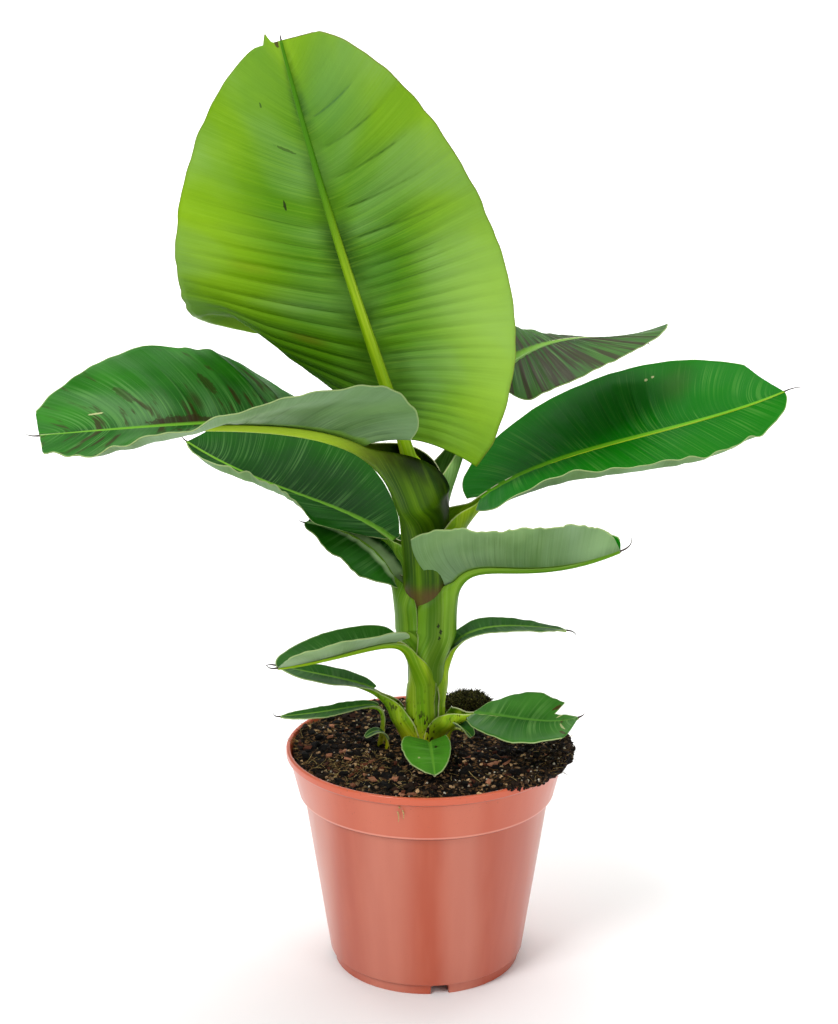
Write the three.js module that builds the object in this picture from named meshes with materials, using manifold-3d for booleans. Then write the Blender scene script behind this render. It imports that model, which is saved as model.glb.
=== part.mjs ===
// A young dwarf banana plant in a round plastic nursery pot.
//
// Millimetres, +Z up.  The origin is the centre of the pot's flat underside and
// the plant's front faces -Y.  Every leaf grows by one rule: its midrib is a
// cubic curve that leaves the stem in one plane, and its blade is laid out
// along the side veins that run from the midrib to the margin.

import * as THREE from 'three';
import { mergeVertices } from 'three/addons/utils/BufferGeometryUtils.js';
import Module from 'manifold-3d';

const wasm = await Module();
wasm.setup();

// ---------------------------------------------------------------- dimensions

const GAP = 0.3;                 // clearance between neighbouring pieces
const MERGE = 1e-4;              // vertices closer than this are one

const POT = {
  height: 137,
  rim: 85,                       // outer radius of the lip
  lip: 4.5,                      // height of the lip
  collarTop: 83,                 // outer radius just under the lip
  collarFoot: 77.5,              // outer radius at the collar's lower edge
  collarZ: 108.5,                // height of that edge
  bodyTop: 74.5,
  bodyFoot: 59.5,
  bodyFootZ: 7,
  ringOuter: 57,                 // the foot ring it stands on
  ringInner: 52.5,
  channelZ: 4,                   // underside of the raised drainage channel
  hub: 20,                       // radius of the flat disc at the centre
  slope: 2,                      // run of the slopes beside the hub and at the collar
  edge: 0.8,                     // bevel of the lip and of the collar's lower edge
  wall: 1.2,
  lipWall: 2.4,                  // thickness of the lip at its top
  floor: 1.8,
  segments: 40,
};
const NOTCH = { count: 4, first: 278, width: 10.5, height: 5.4, length: 8, inset: 1 };
const DRAIN = { count: 6, radius: 4, circle: 37, sides: 12 };

const SOIL = {
  ground: 137,                   // level round the stem
  edge: 133,                     // level along the pot's wall
  seat: 34,                      // radius of the level patch under the shoots
  rings: [0.94, 0.8, 0.62],      // rings of its surface, as shares of the radius
};
// Peat heaped over the rim: compass angles, inner and outer radius, crest.
const HEAP = { from: -62, to: 14, inner: 66, outer: 86.5, top: 142.5, depth: 14, steps: 14 };
const MOSS = { at: [26, 58], radius: [15, 11, 13], ground: 136, detail: 2 };

// The pseudostem: radius at each height, from the soil to its fork.
const STEM = {
  x: -1,
  levels: [
    [0, 13.4], [6, 12.6], [18, 11.9], [40, 11.4], [62, 11.6],
    [84, 12.2], [104, 12.4], [122, 12.2], [136, 11], [146, 8],
  ],
  sides: 20,
};

// What all the leaves share.
const LEAF = {
  long: 150,                     // a leaf past this length has the finer mesh
  fine: { rows: 11, columns: 4, steps: 12 },
  plain: { rows: 6, columns: 2, steps: 8 },
  thickness: 0.01,               // share of the leaf's length
  thinnest: 1,
  lastVein: 0.985,               // the blade stops just short of a point
  forward: 0.9,                  // how far the last veins run forward
  bow: [1.4, 1.4],
  ribTip: 0.6,                   // radius of the midrib at the tip
  ribDrop: 0.5,                  // the rib stands out under the blade by this share
  ribSides: 6,
};

// One entry for each leaf.
//   heading   compass angle of the leaf's plane, degrees from +X towards +Y
//   lean      tilt of that plane to its left, degrees
//   spine     four [out, up] control points of the midrib curve
//   start     share of the curve that is bare petiole
//   width     left and right half of the blade, seen from the stem
//   raise     lift of each half above flat: base, middle, tip, in degrees
//   curl      extra bend of each half out to its margin, degrees
//   sweep     how far the lowest veins run forward, as a share of the width
//   shoulder  width at the blade's base as a share of its full width
//   widest    where along the blade each half is widest
//   blunt     fullness of each half at the tip
//   bow       how late the veins of each half turn, where it differs from LEAF.bow
//   rib       radius at the root and at the start of the blade
//   thread    length of the dry thread at the tip
const LEAVES = {
  leaf_top: {
    heading: 255, lean: 13, spine: [[5, 284], [2, 331], [58, 421], [68, 556]], start: 0.16,
    width: [84, 101], raise: [[14, 6, -32], [22, 0, 54]], curl: [0, 0], sweep: [-0.77, 0.92],
    shoulder: [0.44, 0.87], widest: [0.37, 0.19], blunt: [1.8, 1.83], bow: [1.45, 1.15],
    rib: [5.5, 3.6], thread: 4,
  },
  leaf_left_long: {
    heading: 195, lean: -12, spine: [[4, 256], [9, 351], [84, 350], [221, 345]], start: 0.32,
    width: [68, 67], raise: [[74, 20, 0], [-9, 20, -14]], curl: [0, 0], sweep: [-0.83, 0.67],
    shoulder: [0.33, 0.74], widest: [0.39, 0.36], blunt: [1.88, 2.25], bow: [1.16, 1.9],
    rib: [9, 4.6], thread: 8,
  },
  leaf_right_large: {
    heading: 21, lean: 1, spine: [[6, 256], [34, 319], [146, 309], [239, 338]], start: 0.17,
    width: [77, 46], raise: [[-2, 16, 7], [15, -18, -35]], curl: [0, 0], sweep: [-0.45, -0.5],
    shoulder: [0.32, 0.9], widest: [0.56, 0.48], blunt: [1.72, 1.3], bow: [1.6, 0.8],
    rib: [6, 3.4], thread: 14,
  },
  leaf_back_right: {
    heading: 44, lean: 5, spine: [[8, 266], [16, 370], [66, 388], [185, 364]], start: 0.47,
    width: [26, 43], raise: [[37, -7, 3], [-19, 2, 55]], curl: [0, 0], sweep: [0.6, -1.1],
    shoulder: [0.9, 0.5], widest: [0.3, 0.35], blunt: [2.8, 2.2], bow: [0.9, 1.05],
    rib: [6.5, 3.2], thread: 10,
  },
  leaf_left_lower: {
    heading: 149, lean: 3, spine: [[7, 247], [31, 282], [103, 272], [179, 304]], start: 0.12,
    width: [33, 65], raise: [[-15, 11, -35], [6, 21, 10]], curl: [0, 0], sweep: [1.1, 0],
    shoulder: [0.53, 0.14], widest: [0.17, 0.5], blunt: [1.2, 1.53], bow: [1.4, 1.5],
    rib: [5, 3], thread: 6,
  },
  leaf_left_folded: {
    heading: 159, lean: 0, spine: [[10, 190], [10, 248], [33, 268], [78, 268]], start: 0.38,
    width: [25, 24], raise: [[17, -28, 8], [20, 15, 5]], curl: [0, 0], sweep: [-0.2, -0.2],
    shoulder: [0.3, 0.5], widest: [0.26, 0.3], blunt: [1.4, 1.9], bow: [1.2, 1.4],
    rib: [7, 3], thread: 5,
  },
  leaf_right_middle: {
    heading: -20, lean: -2, spine: [[8, 187], [11, 286], [39, 230], [116, 268]], start: 0.31,
    width: [22, 45], raise: [[29, 54, 26], [49, 44, 88]], curl: [0, 0], sweep: [0.18, 0.26],
    shoulder: [0.88, 1], widest: [0.6, 0.44], blunt: [2.37, 1.2], bow: [1.9, 1.25],
    rib: [7.5, 3.2], thread: 12,
  },
  leaf_left_small_upper: {
    heading: 208, lean: -7, spine: [[4, 144], [5, 235], [25, 203], [100, 204]], start: 0.49,
    width: [32, 17], raise: [[35, 40, 40], [30, 25, 15]], curl: [0, 0], sweep: [-0.1, -0.4],
    shoulder: [0.6, 0.5], widest: [0.42, 0.42], blunt: [2.2, 2.2], rib: [8, 2.4], thread: 8,
  },
  leaf_left_small_lower: {
    heading: 190, lean: 0, spine: [[15, 136], [14, 177], [36, 176], [90, 192]], start: 0.42,
    width: [15, 10], raise: [[15, 0, 0], [25, 20, 0]], curl: [0, 0], sweep: [-0.3, -0.5],
    shoulder: [0.5, 0.5], widest: [0.42, 0.42], blunt: [2, 2], rib: [4.5, 1.8], thread: 7,
  },
  leaf_left_lowest: {
    heading: 185, lean: 0, spine: [[27, 136], [20, 176], [31, 159], [88, 157]], start: 0.32,
    width: [9, 6], raise: [[15, 0, 0], [25, 20, 0]], curl: [0, 0], sweep: [-0.4, -0.4],
    shoulder: [0.5, 0.5], widest: [0.45, 0.45], blunt: [2.2, 2.2], rib: [1.8, 1.2], thread: 5,
  },
  leaf_right_small: {
    heading: 10, lean: 0, spine: [[8, 162], [7, 211], [30, 214], [86, 204]], start: 0.32,
    width: [10, 12], raise: [[25, 15, 0], [15, 0, 10]], curl: [0, 0], sweep: [-0.4, -0.4],
    shoulder: [0.6, 0.5], widest: [0.4, 0.4], blunt: [2.1, 2.1], rib: [5, 1.8], thread: 8,
  },
  leaf_right_low: {
    heading: -25, lean: 0, spine: [[11, 143], [14, 175], [64, 153], [97, 169]], start: 0.3,
    width: [21, 36], raise: [[10, 30, -10], [0, 0, -10]], curl: [0, 0], sweep: [-0.1, 0],
    shoulder: [0.1, 0.35], widest: [0.42, 0.45], blunt: [1.9, 2.8], rib: [5, 2.2], thread: 5,
  },
  leaf_front_round: {
    heading: 274, lean: 0, spine: [[12, 136], [16, 151], [29, 149], [65, 143]], start: 0.28,
    width: [12, 18], raise: [[15, 10, 0], [15, 10, 15]], curl: [0, 0], sweep: [-0.7, -0.4],
    shoulder: [0.75, 0.65], widest: [0.3, 0.35], blunt: [1.5, 1.5], rib: [3.4, 1.6], thread: 0,
  },
  shoot_right: {
    heading: -30, lean: 0, spine: [[13, 136], [13, 151], [21, 156], [31, 147]], start: 0.3,
    width: [7, 6], raise: [[30, 20, 0], [60, 40, 0]], curl: [0, 0], sweep: [-0.4, -0.4],
    shoulder: [0.6, 0.6], widest: [0.45, 0.45], blunt: [2.2, 2.2], rib: [2.4, 1.2], thread: 0,
  },
  shoot_left: {
    heading: 200, lean: 0, spine: [[24, 136], [25, 149], [31, 152], [39, 146]], start: 0.3,
    width: [4.5, 4.5], raise: [[15, 5, 0], [15, 5, 0]], curl: [0, 0], sweep: [-0.4, -0.4],
    shoulder: [0.5, 0.5], widest: [0.45, 0.45], blunt: [2.2, 2.2], rib: [1.4, 0.9], thread: 3,
  },
};

// -------------------------------------------------------------------- finish

const finish = (color, roughness) =>
  new THREE.MeshStandardMaterial({ color, roughness, metalness: 0 });

const MATERIAL = {
  pot: finish(0xc9694f, 0.35),
  soil: finish(0x2c1d16, 0.95),
  moss: finish(0x3a3a1c, 0.95),
  stem: finish(0x6f9a2c, 0.5),
  leaf: finish(0x2f7a2c, 0.45),
  youngLeaf: finish(0x7db534, 0.45),
};

// -------------------------------------------------------------------- solids

const radians = THREE.MathUtils.degToRad;

/** The same geometry with its shared vertices merged. */
function merged(geometry) {
  const bare = geometry.clone();
  bare.deleteAttribute('normal');
  bare.deleteAttribute('uv');
  return mergeVertices(bare, MERGE);
}

/** A manifold solid from a closed geometry, whichever way its faces point. */
function solid(geometry) {
  const { attributes, index } = merged(geometry);
  const corners = new Uint32Array(index.array);
  const body = manifold(attributes.position.array, corners);
  return body.volume() > 0 ? body : manifold(attributes.position.array, corners.reverse());
}

function manifold(positions, corners) {
  return new wasm.Manifold(new wasm.Mesh({
    numProp: 3,
    vertProperties: new Float32Array(positions),
    triVerts: corners,
  }));
}

/** A three.js geometry from a manifold solid. */
function geometryOf(body) {
  const mesh = body.getMesh();
  const geometry = new THREE.BufferGeometry();
  geometry.setAttribute('position', new THREE.Float32BufferAttribute(mesh.vertProperties, 3));
  geometry.setIndex(new THREE.Uint32BufferAttribute(mesh.triVerts, 1));
  geometry.computeVertexNormals();
  return geometry;
}

/** The largest of the pieces that a cut leaves. */
function largestPiece(body) {
  return body.decompose().sort((a, b) => b.volume() - a.volume())[0];
}

/**
 * Joins rings of equally many points into one closed solid.  Each ring runs out
 * along one side of a section and back along the other, so that an end is
 * closed by pairing the points across it.
 */
function loft(rings) {
  const count = rings[0].length;
  const positions = rings.flat().flatMap((p) => [p.x, p.y, p.z]);
  const index = [];
  for (let row = 0; row + 1 < rings.length; row += 1) {
    for (let i = 0; i < count; i += 1) {
      const next = (i + 1) % count;
      const a = row * count + i;
      const b = row * count + next;
      index.push(a, b, b + count, a, b + count, a + count);
    }
  }
  const last = (rings.length - 1) * count;
  for (let i = 0; i + 1 < count / 2; i += 1) {
    const across = count - 1 - i;
    index.push(i, across, i + 1, i + 1, across, across - 1);
    index.push(last + i, last + i + 1, last + across, last + i + 1, last + across - 1, last + across);
  }
  const geometry = new THREE.BufferGeometry();
  geometry.setAttribute('position', new THREE.Float32BufferAttribute(positions, 3));
  geometry.setIndex(index);
  return solid(geometry);
}

/** A round ring of points across a direction. */
function circleRing(centre, direction, radius, sides) {
  const turn = new THREE.Quaternion().setFromUnitVectors(new THREE.Vector3(0, 0, 1), direction);
  return Array.from({ length: sides }, (_, i) => {
    const angle = (2 * Math.PI * (i + 0.5)) / sides;
    const offset = new THREE.Vector3(Math.cos(angle), Math.sin(angle), 0);
    return offset.multiplyScalar(radius).applyQuaternion(turn).add(centre);
  });
}

/** A shape turned about the Z axis, from its [radius, height] profile. */
function turned(profile) {
  const points = profile.map(([radius, height]) => new THREE.Vector2(radius, height));
  const geometry = new THREE.LatheGeometry(points, POT.segments);
  geometry.rotateX(Math.PI / 2);
  return geometry;
}

// ----------------------------------------------------------------------- pot

/** The pot's inside, from the middle of its floor up to the lip. */
function insideProfile(clearance) {
  const { height, floor, hub, slope, channelZ, bodyFoot, bodyFootZ, bodyTop, collarZ } = POT;
  const raised = channelZ + floor;
  const inward = POT.wall + clearance;
  return [
    [0, floor + clearance],
    [hub - clearance, floor + clearance],
    [hub + slope - clearance, raised + clearance],
    [POT.ringInner - slope, raised + clearance],
    [bodyFoot - inward, bodyFootZ + floor + clearance],
    [bodyTop - inward, collarZ - slope],
    [POT.collarFoot - inward, collarZ + slope],
    [POT.collarTop - inward, height - POT.lip],
    [POT.rim - POT.lipWall - clearance, height],
  ];
}

function pot() {
  const { height, rim, lip, hub, edge, channelZ, ringInner, ringOuter, collarZ } = POT;
  const outside = [
    [0, 0],
    [hub, 0],
    [hub + POT.slope, channelZ],
    [ringInner - edge, channelZ],
    [ringInner, 0],
    [ringOuter, 0],
    [ringOuter, POT.bodyFootZ - edge],
    [POT.bodyFoot, POT.bodyFootZ],
    [POT.bodyTop, collarZ - edge],
    [POT.collarFoot - edge, collarZ - edge / 2],
    [POT.collarFoot, collarZ + edge / 2],
    [POT.collarTop, height - lip - edge],
    [rim, height - lip],
    [rim, height - edge],
    [rim - edge, height],
  ];
  let body = solid(turned([...outside, ...insideProfile(0).reverse()]));
  for (let i = 0; i < NOTCH.count; i += 1) {
    const notch = new THREE.BoxGeometry(NOTCH.length, NOTCH.width, 2 * NOTCH.height);
    notch.translate(ringOuter - NOTCH.inset, 0, 0);
    notch.rotateZ(radians(NOTCH.first + (360 / NOTCH.count) * i));
    body = body.subtract(solid(notch));
  }
  for (let i = 0; i < DRAIN.count; i += 1) {
    const depth = 4 * channelZ;
    const drain = new THREE.CylinderGeometry(DRAIN.radius, DRAIN.radius, depth, DRAIN.sides);
    drain.rotateX(Math.PI / 2);
    drain.translate(DRAIN.circle, 0, 0);
    drain.rotateZ(radians((360 / DRAIN.count) * i));
    body = body.subtract(solid(drain));
  }
  return body;
}

// ---------------------------------------------------------------------- soil

/** Height of the soil's surface: level at the stem, uneven towards the wall. */
function soilHeight(radius, angle) {
  const outward = THREE.MathUtils.smoothstep(radius, SOIL.seat, POT.collarFoot);
  const lumps =
    1.1 * Math.sin(5 * angle + radius / 7) +
    0.8 * Math.sin(9 * angle - radius / 5) +
    0.6 * Math.sin(14 * angle + radius / 3);
  return THREE.MathUtils.lerp(SOIL.ground, SOIL.edge, outward) + lumps * outward;
}

function soil() {
  const wallProfile = insideProfile(GAP).slice(0, -1);
  const topRadius = wallProfile.at(-1)[0];
  const surface = [...SOIL.rings, SOIL.seat / topRadius, 0];
  const profile = [...wallProfile, ...surface.map((share) => [share * topRadius, SOIL.ground])];
  const geometry = merged(turned(profile));
  const position = geometry.attributes.position;
  for (let i = 0; i < position.count; i += 1) {
    if (position.getZ(i) > SOIL.ground - MERGE) {
      const x = position.getX(i);
      const y = position.getY(i);
      position.setZ(i, soilHeight(Math.hypot(x, y), Math.atan2(y, x)));
    }
  }
  return solid(geometry).add(heap());
}

/** The peat that is heaped up and over the rim on the plant's right. */
function heap() {
  const wallRadius = POT.collarTop - POT.wall - GAP;
  const foot = HEAP.top - HEAP.depth;
  const rest = POT.height + GAP;
  const rings = Array.from({ length: HEAP.steps + 1 }, (_, step) => {
    const share = step / HEAP.steps;
    const angle = radians(THREE.MathUtils.lerp(HEAP.from, HEAP.to, share));
    const swell = Math.sqrt(Math.sin(Math.PI * (0.04 + 0.92 * share)));
    const outer = wallRadius + (HEAP.outer - wallRadius) * swell;
    const crest = rest + (HEAP.top - rest) * swell + 0.5 * Math.sin(9 * share);
    const section = [
      [HEAP.inner, foot],
      [wallRadius - 1.6, foot],
      [wallRadius - 0.3, POT.height - POT.lip],
      [wallRadius, rest],
      [outer, rest],
      [outer + 0.3 * swell, rest + 1.6 * swell + 0.4],
      [wallRadius - 1, crest],
      [HEAP.inner + 9, crest - 0.5],
      [HEAP.inner + 4, crest - 2],
      [HEAP.inner, SOIL.edge + 1],
    ];
    return section.map(([r, z]) => new THREE.Vector3(r * Math.cos(angle), r * Math.sin(angle), z));
  });
  return loft(rings);
}

/** A lump of moss that lies on the soil at the back. */
function moss(ground) {
  const geometry = new THREE.IcosahedronGeometry(1, MOSS.detail);
  const position = geometry.attributes.position;
  const vertex = new THREE.Vector3();
  for (let i = 0; i < position.count; i += 1) {
    vertex.fromBufferAttribute(position, i);
    const lumps = 0.08 * Math.sin(7 * vertex.x + 3) * Math.sin(6 * vertex.y) + 0.06 * Math.sin(8 * vertex.z);
    vertex.multiplyScalar(1 + lumps);
    position.setXYZ(
      i,
      MOSS.at[0] + MOSS.radius[0] * vertex.x,
      MOSS.at[1] + MOSS.radius[1] * vertex.y,
      MOSS.ground + MOSS.radius[2] * vertex.z,
    );
  }
  return largestPiece(solid(geometry).subtract(ground));
}

// ---------------------------------------------------------------------- stem

function stem(grow) {
  const up = new THREE.Vector3(0, 0, 1);
  const foot = SOIL.ground + GAP;
  const rings = STEM.levels.map(([height, radius], i) => {
    const last = i === STEM.levels.length - 1;
    const rise = (last ? grow : 0) - (i === 0 ? grow : 0);
    const centre = new THREE.Vector3(STEM.x, 0, foot + height + rise);
    return circleRing(centre, up, radius + grow, STEM.sides);
  });
  return loft(rings);
}

// -------------------------------------------------------------------- leaves

/** A smooth curve through a value at the base, the middle and the tip. */
function through([base, middle, tip], v) {
  return base * (1 - v) * (1 - 2 * v) + middle * 4 * v * (1 - v) + tip * v * (2 * v - 1);
}

/** Width of half a blade at v, from 0 at its base to 1 at its tip. */
function outline(leaf, side, v) {
  const shoulder = leaf.shoulder[side];
  const widest = leaf.widest[side];
  if (v < widest) {
    return shoulder + (1 - shoulder) * Math.sin((v / widest) * (Math.PI / 2));
  }
  const fall = (v - widest) / (1 - widest);
  return Math.max(1 - fall ** leaf.blunt[side], 0) ** 0.8;
}

/** The leaf's frame: where its midrib runs and which way its halves spread. */
function leafFrame(leaf) {
  const heading = radians(leaf.heading);
  const lean = radians(leaf.lean);
  const out = new THREE.Vector3(Math.cos(heading), Math.sin(heading), 0);
  const level = new THREE.Vector3(Math.sin(heading), -Math.cos(heading), 0);
  const up = new THREE.Vector3(0, 0, Math.cos(lean)).addScaledVector(level, Math.sin(lean));
  const right = new THREE.Vector3(0, 0, -Math.sin(lean)).addScaledVector(level, Math.cos(lean));
  const curve = new THREE.CubicBezierCurve(...leaf.spine.map(([o, u]) => new THREE.Vector2(o, u)));
  const length = curve.getLength();
  const rootHeight = leaf.spine[0][1];
  const place = (o, u) => new THREE.Vector3(0, 0, rootHeight)
    .addScaledVector(out, o).addScaledVector(up, u - rootHeight);
  const turn = (o, u) => new THREE.Vector3().addScaledVector(out, o).addScaledVector(up, u);
  const at = (distance) => {
    const share = THREE.MathUtils.clamp(distance / length, 0, 1);
    const point = curve.getPointAt(share);
    const tangent = curve.getTangentAt(share);
    point.addScaledVector(tangent, distance - share * length);
    return {
      point: place(point.x, point.y),
      tangent: turn(tangent.x, tangent.y),
      normal: turn(-tangent.y, tangent.x),
    };
  };
  return { at, right, length, start: leaf.start * length };
}

/** A point of the blade: v along its veins' feet, t from midrib to margin. */
function bladePoint(leaf, frame, side, v, t, grow) {
  const width = leaf.width[side] * outline(leaf, side, v) + 2 * grow;
  const sweep = leaf.sweep[side] * (1 - v) ** 3 + LEAF.forward * v ** 1.5;
  const ends = v === 0 ? -2 * grow : 2 * grow * v ** 8;
  const foot = frame.start + v * (frame.length - frame.start) + ends;
  const { bow } = { ...LEAF, ...leaf };
  const reach = foot + width * sweep * t ** bow[side];
  const bend = radians(through(leaf.raise[side], v) + (leaf.curl[side] * t) / 2);
  const { point, normal } = frame.at(Math.min(reach, frame.length));
  const sign = side === 0 ? -1 : 1;
  point.addScaledVector(frame.right, sign * width * t * Math.cos(bend));
  point.addScaledVector(normal, width * t * Math.sin(bend));
  return point;
}

/** How finely a leaf is meshed. */
function meshOf(frame) {
  return frame.length > LEAF.long ? LEAF.fine : LEAF.plain;
}

/** The blade, as thick as a hundredth of the leaf's length. */
function blade(leaf, frame, grow) {
  const { rows, columns } = meshOf(frame);
  const half = Math.max(LEAF.thickness * frame.length, LEAF.thinnest) / 2 + grow;
  const grid = Array.from({ length: rows + 1 }, (_, row) => {
    const v = (LEAF.lastVein * row) / rows;
    return Array.from({ length: 2 * columns + 1 }, (__, i) => {
      const column = i - columns;
      return bladePoint(leaf, frame, column < 0 ? 0 : 1, v, Math.abs(column) / columns, grow);
    });
  });
  const across = new THREE.Vector3();
  const along = new THREE.Vector3();
  const rings = grid.map((row, r) => {
    const upper = [];
    const lower = [];
    row.forEach((point, c) => {
      const before = grid[Math.max(r - 1, 0)][c];
      const after = grid[Math.min(r + 1, rows)][c];
      across.subVectors(row[Math.min(c + 1, 2 * columns)], row[Math.max(c - 1, 0)]);
      along.subVectors(after, before);
      const normal = new THREE.Vector3().crossVectors(across, along).normalize();
      upper.push(point.clone().addScaledVector(normal, half));
      lower.push(point.clone().addScaledVector(normal, -half));
    });
    return [...upper, ...lower.reverse()];
  });
  return loft(rings);
}

/** Petiole, midrib and the dry thread at the tip: one tapering limb. */
function rib(leaf, frame, grow) {
  const { steps } = meshOf(frame);
  const [root, base] = leaf.rib;
  const total = frame.length + leaf.thread + 2 * grow;
  const rings = Array.from({ length: steps + 1 }, (_, step) => {
    const distance = (total * step) / steps - grow;
    const { point, tangent, normal } = frame.at(distance);
    const bare = THREE.MathUtils.clamp(distance / frame.start, 0, 1);
    const rest = THREE.MathUtils.clamp((distance - frame.start) / (frame.length - frame.start), 0, 1);
    const radius = distance < frame.start
      ? THREE.MathUtils.lerp(root, base, bare)
      : THREE.MathUtils.lerp(base, LEAF.ribTip, rest ** 0.9);
    point.addScaledVector(normal, -LEAF.ribDrop * radius);
    return circleRing(point, tangent, radius + grow, LEAF.ribSides);
  });
  return loft(rings);
}

function leafBody(leaf, grow) {
  const frame = leafFrame(leaf);
  return blade(leaf, frame, grow).add(rib(leaf, frame, grow));
}

/** True where the boxes round two solids meet. */
function boxesMeet(a, b) {
  const one = a.boundingBox();
  const two = b.boundingBox();
  return [0, 1, 2].every((k) => one.min[k] < two.max[k] && two.min[k] < one.max[k]);
}

// ------------------------------------------------------------------ assembly

const plant = new THREE.Group();
plant.name = 'banana_plant';

function addNode(name, body, material) {
  const mesh = new THREE.Mesh(geometryOf(body), material);
  mesh.name = name;
  plant.add(mesh);
}

const soilBody = soil();
const liftedSoil = soilBody.translate([0, 0, GAP]);
const mossBody = moss(liftedSoil);
const stemReach = stem(GAP);

addNode('pot', pot(), MATERIAL.pot);
addNode('soil', soilBody, MATERIAL.soil);
addNode('moss_clump', mossBody, MATERIAL.moss);
addNode('pseudostem', stem(0), MATERIAL.stem);

// Each leaf is cut clear of the soil, the stem and the leaves made before it.
const taken = [liftedSoil, stemReach];
for (const [name, leaf] of Object.entries(LEAVES)) {
  let body = leafBody(leaf, 0);
  for (const other of taken) {
    if (boxesMeet(body, other)) {
      body = body.subtract(other);
    }
  }
  addNode(name, largestPiece(body), name === 'leaf_top' ? MATERIAL.youngLeaf : MATERIAL.leaf);
  taken.push(leafBody(leaf, GAP));
}

export default plant;
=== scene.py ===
"""Looks of a young dwarf banana plant in its nursery pot.

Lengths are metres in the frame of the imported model: +Z up, the origin at the centre of
the pot's underside and the plant's front towards -Y.  Compass angles are degrees from +X
towards +Y.
"""
import math
import random
from collections import namedtuple

import bmesh
import bpy
from mathutils import Matrix, Vector, noise


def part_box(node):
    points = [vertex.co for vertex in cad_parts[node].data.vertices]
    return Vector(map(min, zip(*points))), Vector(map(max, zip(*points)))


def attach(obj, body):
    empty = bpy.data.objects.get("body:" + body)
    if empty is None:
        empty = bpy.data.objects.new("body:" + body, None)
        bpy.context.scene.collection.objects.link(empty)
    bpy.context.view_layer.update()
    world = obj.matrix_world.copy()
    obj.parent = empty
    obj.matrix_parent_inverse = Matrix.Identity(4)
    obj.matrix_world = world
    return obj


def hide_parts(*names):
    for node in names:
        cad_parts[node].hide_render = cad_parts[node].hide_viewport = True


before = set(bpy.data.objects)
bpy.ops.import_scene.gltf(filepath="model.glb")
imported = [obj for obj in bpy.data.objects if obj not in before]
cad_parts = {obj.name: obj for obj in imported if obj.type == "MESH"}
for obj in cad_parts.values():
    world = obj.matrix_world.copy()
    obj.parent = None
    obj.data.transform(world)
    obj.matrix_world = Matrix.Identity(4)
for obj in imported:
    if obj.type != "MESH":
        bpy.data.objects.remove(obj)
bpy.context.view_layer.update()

# ---------------- dimensions

MM = 0.001
AXIS = Vector((-0.001, 0, 0))  # where the pseudostem stands
UP = Vector((0, 0, 1))
EYE = Vector((-0.0045, -1.025, 0.541))
EYE_PITCH = 14.2  # degrees below level
LENS = 63.28

POT_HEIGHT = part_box("pot")[1].z
POT_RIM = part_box("pot")[1].x
STEM_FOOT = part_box("pseudostem")[0].z
STEM_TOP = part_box("pseudostem")[1].z
SOIL_LEVEL = STEM_FOOT - 0.3 * MM
SOIL_EDGE = SOIL_LEVEL - 3 * MM  # the soil is lower along the pot's wall
SOIL_SEAT = 0.034  # level ground under the shoots, a radius
SOIL_RADIUS = 0.0807

# Outer radius of the clasping sheaths at each height above the soil.
GIRTH = (
    (0, 0.0136), (0.006, 0.0128), (0.018, 0.012), (0.04, 0.0116), (0.062, 0.0118),
    (0.084, 0.0122), (0.104, 0.0128), (0.122, 0.0136), (0.146, 0.014),
)
CORE_DEPTH = 3.6 * MM  # of the innermost stem below that girth

# Where a leaf's sheath clasps the stem:
#   foot, face  height of its foot, and the compass angle that its middle faces
#   wrap        half the angle that it goes round the stem, degrees
#   buried      how deep the older sheaths cover it, in millimetres
#   bare        the height from which they no longer do
#   opens       shares of the petiole between which its margins part from the stem
Sheath = namedtuple("Sheath", "foot face wrap buried bare opens")

# The leaves, grown by the same rule as the part's solids.  A midrib is a cubic curve
# (out, up) in the leaf's plane, and a blade lies along the veins that leave it.
#   heading    compass angle of that plane, and lean, how far it is tipped aside
#   start      share of the curve that is bare petiole
#   rib        radius at the root and at the start of the blade
#   thread     length of the dry thread at the tip, and turn, how far it curls up
#   width      left and right half of the blade, seen from the stem
#   lift       rise of each half above flat at its base, middle and tip, degrees
#   sweep      how far the lowest veins run forward, as a share of the width
#   shoulder   width at the blade's base, as a share of the full width
#   widest     where along the blade each half is widest
#   blunt      fullness of each half at the tip
#   bow        how late the veins of each half turn
#   skins      kinds of the blade's upper skin and underside, and limb, of the rest
# What its growth adds to the rule, lengths in millimetres:
#   waves      height of the waves on its left and right margin, and their count
#   pleats     depth of the pleats, and their pitch on the left and the right half
#   ridges     depth and pitch of the broad ridges on its left half
#   torn       how torn the margin is
#   roll       how far the margins of its left and right half roll up
#   lobe       share of the width that the round corner at the base takes
#   nick       the half it is in, where it starts along the blade, and the width left
#   hook       the half it is on, where along the blade, its half width and its height
#   kink       the half whose base edge is kinked, where across it, the rise and the drop
COMMON_LEAF = dict(
    lean=0, thread=0, turn=1, sweep=(-0.4, -0.4), shoulder=(0.5, 0.5), widest=(0.45, 0.45),
    blunt=(2.2, 2.2), bow=(1.4, 1.4), sheath=None, roll=(0, 0), lobe=0.3, ridges=(0, 1),
    nick=(None, 0, 0), hook=(None, 0, 1, 0), kink=(None, 0, 0, 0), skins=("small", "pale"),
    limb="bright_sheath_skin",
)
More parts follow.
